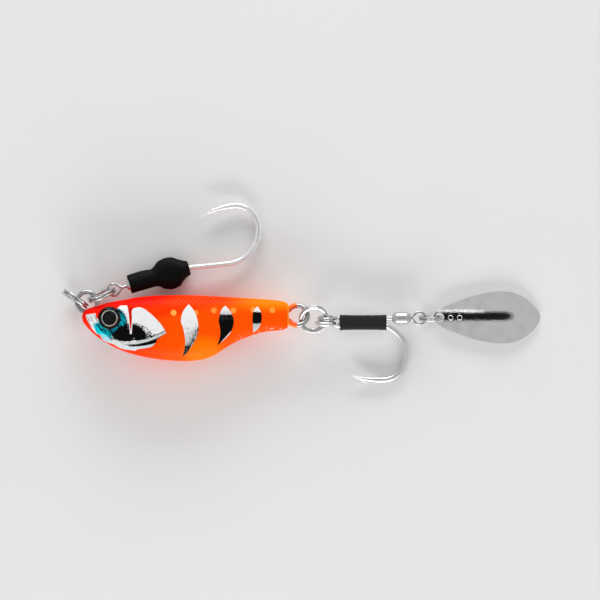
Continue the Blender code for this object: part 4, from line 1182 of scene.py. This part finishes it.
class JIG_OT_blade(bpy.types.Operator):
    """Stamp the spinner blade with its hole and its two small rings"""

    bl_idname = "jig.blade"
    bl_label = "Blade"

    def execute(self, context):
        thickness, hole, stamp, bevel = lengths("jig_blade", "thickness", "hole", "stamp", "rim")
        hang = arc((0, 0, 0), (BLADE_RING[0] - BLADE_RING[1]) / 2, BLADE_HOLE_ANGLE, 0, 1)[0]
        at = Matrix.Translation(BLADE_RING_PLACE @ hang) @ place(turn=(0, BLADE_PITCH, 0))
        level = blade_dome(0, 0) - thickness / 2

        # A flat sheet is drawn in to its outline row by row, pierced, then pressed to shape.
        count, spare = 80, 0.12
        first, last = BLADE[0][0], BLADE[-1][0]
        shares = [(1 - math.cos(math.pi * (k + spare) / (count + 2 * spare))) / 2
                  for k in range(count + 1)]
        shape = bmesh.new()
        bmesh.ops.create_grid(shape, x_segments=count, y_segments=40, size=1)
        for vertex in shape.verts:
            x = first + (last - first) * shares[round((vertex.co.x + 1) / 2 * count)]
            vertex.co = (x, vertex.co.y * max(0.12, interpolate(BLADE, x)), 0)
        self.pierce(shape, hole)
        for vertex in shape.verts:
            vertex.co.z = blade_dome(vertex.co.x, vertex.co.y) - level
        face_up(shape)
        bmesh.ops.solidify(shape, geom=shape.faces[:], thickness=thickness)
        bmesh.ops.recalc_face_normals(shape, faces=shape.faces)
        rim = [edge for edge in shape.edges if edge.is_manifold and edge.calc_face_angle(0) > 1.0]
        bmesh.ops.bevel(shape, geom=rim, offset=bevel, offset_type="OFFSET", affect="EDGES",
                        segments=1, profile=0.5, material=-1, clamp_overlap=True)
        finished("blade_sheet", shape, at, "blade", nickel(at),
                 ["spinner_blade"], 18)
        for number, (x, y) in enumerate(BLADE_STAMPS):
            path = smooth_path(arc((0, 0, 0), stamp, 0, 354, 40), 1)
            slope = (blade_dome(x + 0.1, y) - blade_dome(x - 0.1, y)) / 0.2
            seat = place((x, y, blade_dome(x, y) - level), (0, -math.degrees(math.atan(slope)), 0))
            finished(f"blade_stamp_{number + 1}",
                     wire(path, [(0.1, 0.07)] * len(path), 12, (0, 0, 1)), at @ seat, "blade",
                     metal(f"stamp_{number + 1}", (1.0, 1.0, 1.0), at, 0.5, 0.05))
        return {"FINISHED"}

    @staticmethod
    def pierce(shape, hole):
        """Cuts a round hole at the origin out of the flat sheet."""
        for out in arc((0, 0, 0), 1, 0, 360 * 31 / 32, 31):
            near = [f for f in shape.faces if f.calc_center_median().length < hole + 0.8]
            geom = [*{v for f in near for v in f.verts}, *{e for f in near for e in f.edges}, *near]
            bmesh.ops.bisect_plane(shape, geom=geom, plane_co=out * hole, plane_no=out, dist=1e-5)
        inner = [f for f in shape.faces if f.calc_center_median().length < hole]
        bmesh.ops.delete(shape, geom=inner, context="FACES")
        bmesh.ops.remove_doubles(shape, verts=shape.verts, dist=1e-4)


# ==== stage
def aimed(name, data, at, target):
    made = added(name, data)
    made.location = at
    made.rotation_euler = (Vector(target) - Vector(at)).to_track_quat("-Z", "Y").to_euler()
    return made


def sheet(name, half_x, half_y, at, corner, finish):
    """A flat sheet of the stage, with its corners rounded off if it has a corner radius."""
    shape = bmesh.new()
    bmesh.ops.create_grid(shape, x_segments=1, y_segments=1, size=1)
    bmesh.ops.scale(shape, vec=(half_x, half_y, 1), verts=shape.verts)
    if corner:
        bmesh.ops.bevel(shape, geom=shape.verts[:], offset=corner, affect="VERTICES",
                        segments=10, profile=0.5, material=-1)
    made = added(name, mesh_of(name, shape))
    made.location = at
    made.data.materials.append(finish)


class JIG_OT_stage(bpy.types.Operator):
    """Lay the floor, hang the lamps and the overhead card, and set the camera"""

    bl_idname = "jig.stage"
    bl_label = "Stage"

    def execute(self, context):
        stage, scene = context.scene.jig_stage, context.scene
        scene.view_settings.view_transform = "Standard"
        low, high = CAD_BOX
        centre = (low + high) / 2
        x, y = centre.xy

        f = Finish("pale_floor", Roughness=0.9, Specular_IOR_Level=0.0)
        f.colour = f.mix(f.noise(0.02, 3.0), stage.floor, [c * 0.97 for c in stage.floor])
        f.bump(f.noise(0.6, 3.0), 0.05, 0.05)
        sheet("floor", 3.0, 3.0, (x, y, low.z - 0.05 * MM), 0, f.use())
        f = Finish("dark_card", Roughness=1.0, Specular_IOR_Level=0.0)
        f.colour = f.mix(f.noise(0.01), (0.01, 0.01, 0.01), (0.02, 0.02, 0.02))
        sheet("overhead_card", 0.41, 0.2, (x, y + 0.05, CARD_HEIGHT), 0.17, f.use())
        f = Finish("glowing_strip", Roughness=1.0, Specular_IOR_Level=0.0,
                   Emission_Strength=stage.strip)
        glow = f.mix(f.noise(0.01), (1, 1, 1), (0.9, 0.9, 0.9))
        sheet("overhead_strip", 0.13, 0.03, (x - 0.17, y + 0.285, CARD_HEIGHT), 0.028,
              f.use(Emission_Color=glow))

        world = bpy.data.worlds.new("surround")
        scene.world = world
        world.use_nodes = True
        back = world.node_tree.nodes["Background"]
        back.inputs["Color"].default_value = (1, 1, 1, 1)
        back.inputs["Strength"].default_value = stage.sky
        for name, side in (("lamp_above_back", 1), ("lamp_above_belly", -1)):
            lamp = bpy.data.lights.new(name, "AREA")
            lamp.shape, lamp.size, lamp.size_y, lamp.energy = "RECTANGLE", 0.6, 0.17, stage.lamp
            aimed(name, lamp, (x, side * 0.67, 0.2), centre)
        middle = centre + Vector(VIEW_SHIFT) * MM
        camera = bpy.data.cameras.new("camera")
        camera.lens = camera.sensor_width * stage.camera_height / stage.view_width
        camera.clip_start, camera.clip_end = 0.01, 10
        scene.camera = aimed("camera", camera, middle + Vector((0, 0, stage.camera_height)), middle)
        return {"FINISHED"}


PIECES = (JIG_OT_casting, JIG_OT_foil, JIG_OT_eyes, JIG_OT_through_wire, JIG_OT_rings,
          JIG_OT_swivels, JIG_OT_hooks, JIG_OT_tubes, JIG_OT_blade, JIG_OT_stage)


class JIG_PT_sidebar(bpy.types.Panel):
    """The jig's pieces and stage"""

    bl_idname = "JIG_PT_sidebar"
    bl_label = "Jig"
    bl_space_type = "VIEW_3D"
    bl_region_type = "UI"
    bl_category = "Jig"

    def draw(self, context):
        for group in SETTINGS:
            box = self.layout.box()
            settings = getattr(context.scene, group)
            for name in settings.__annotations__:
                box.prop(settings, name)
        for operator in PIECES:
            self.layout.operator(operator.bl_idname)


def register():
    for kind in (*SETTINGS.values(), *PIECES, JIG_PT_sidebar):
        bpy.utils.register_class(kind)
    for name, kind in SETTINGS.items():
        setattr(bpy.types.Scene, name, PointerProperty(type=kind))


def unregister():
    for name in SETTINGS:
        delattr(bpy.types.Scene, name)
    for kind in (JIG_PT_sidebar, *reversed(PIECES), *reversed(SETTINGS.values())):
        bpy.utils.unregister_class(kind)


def main():
    register()
    for operator in PIECES:
        run = getattr(bpy.ops.jig, operator.bl_idname.split(".")[1])
        if run() != {"FINISHED"}:
            raise RuntimeError(f"{operator.bl_label} didn't finish")


if __name__ == "__main__":
    main()
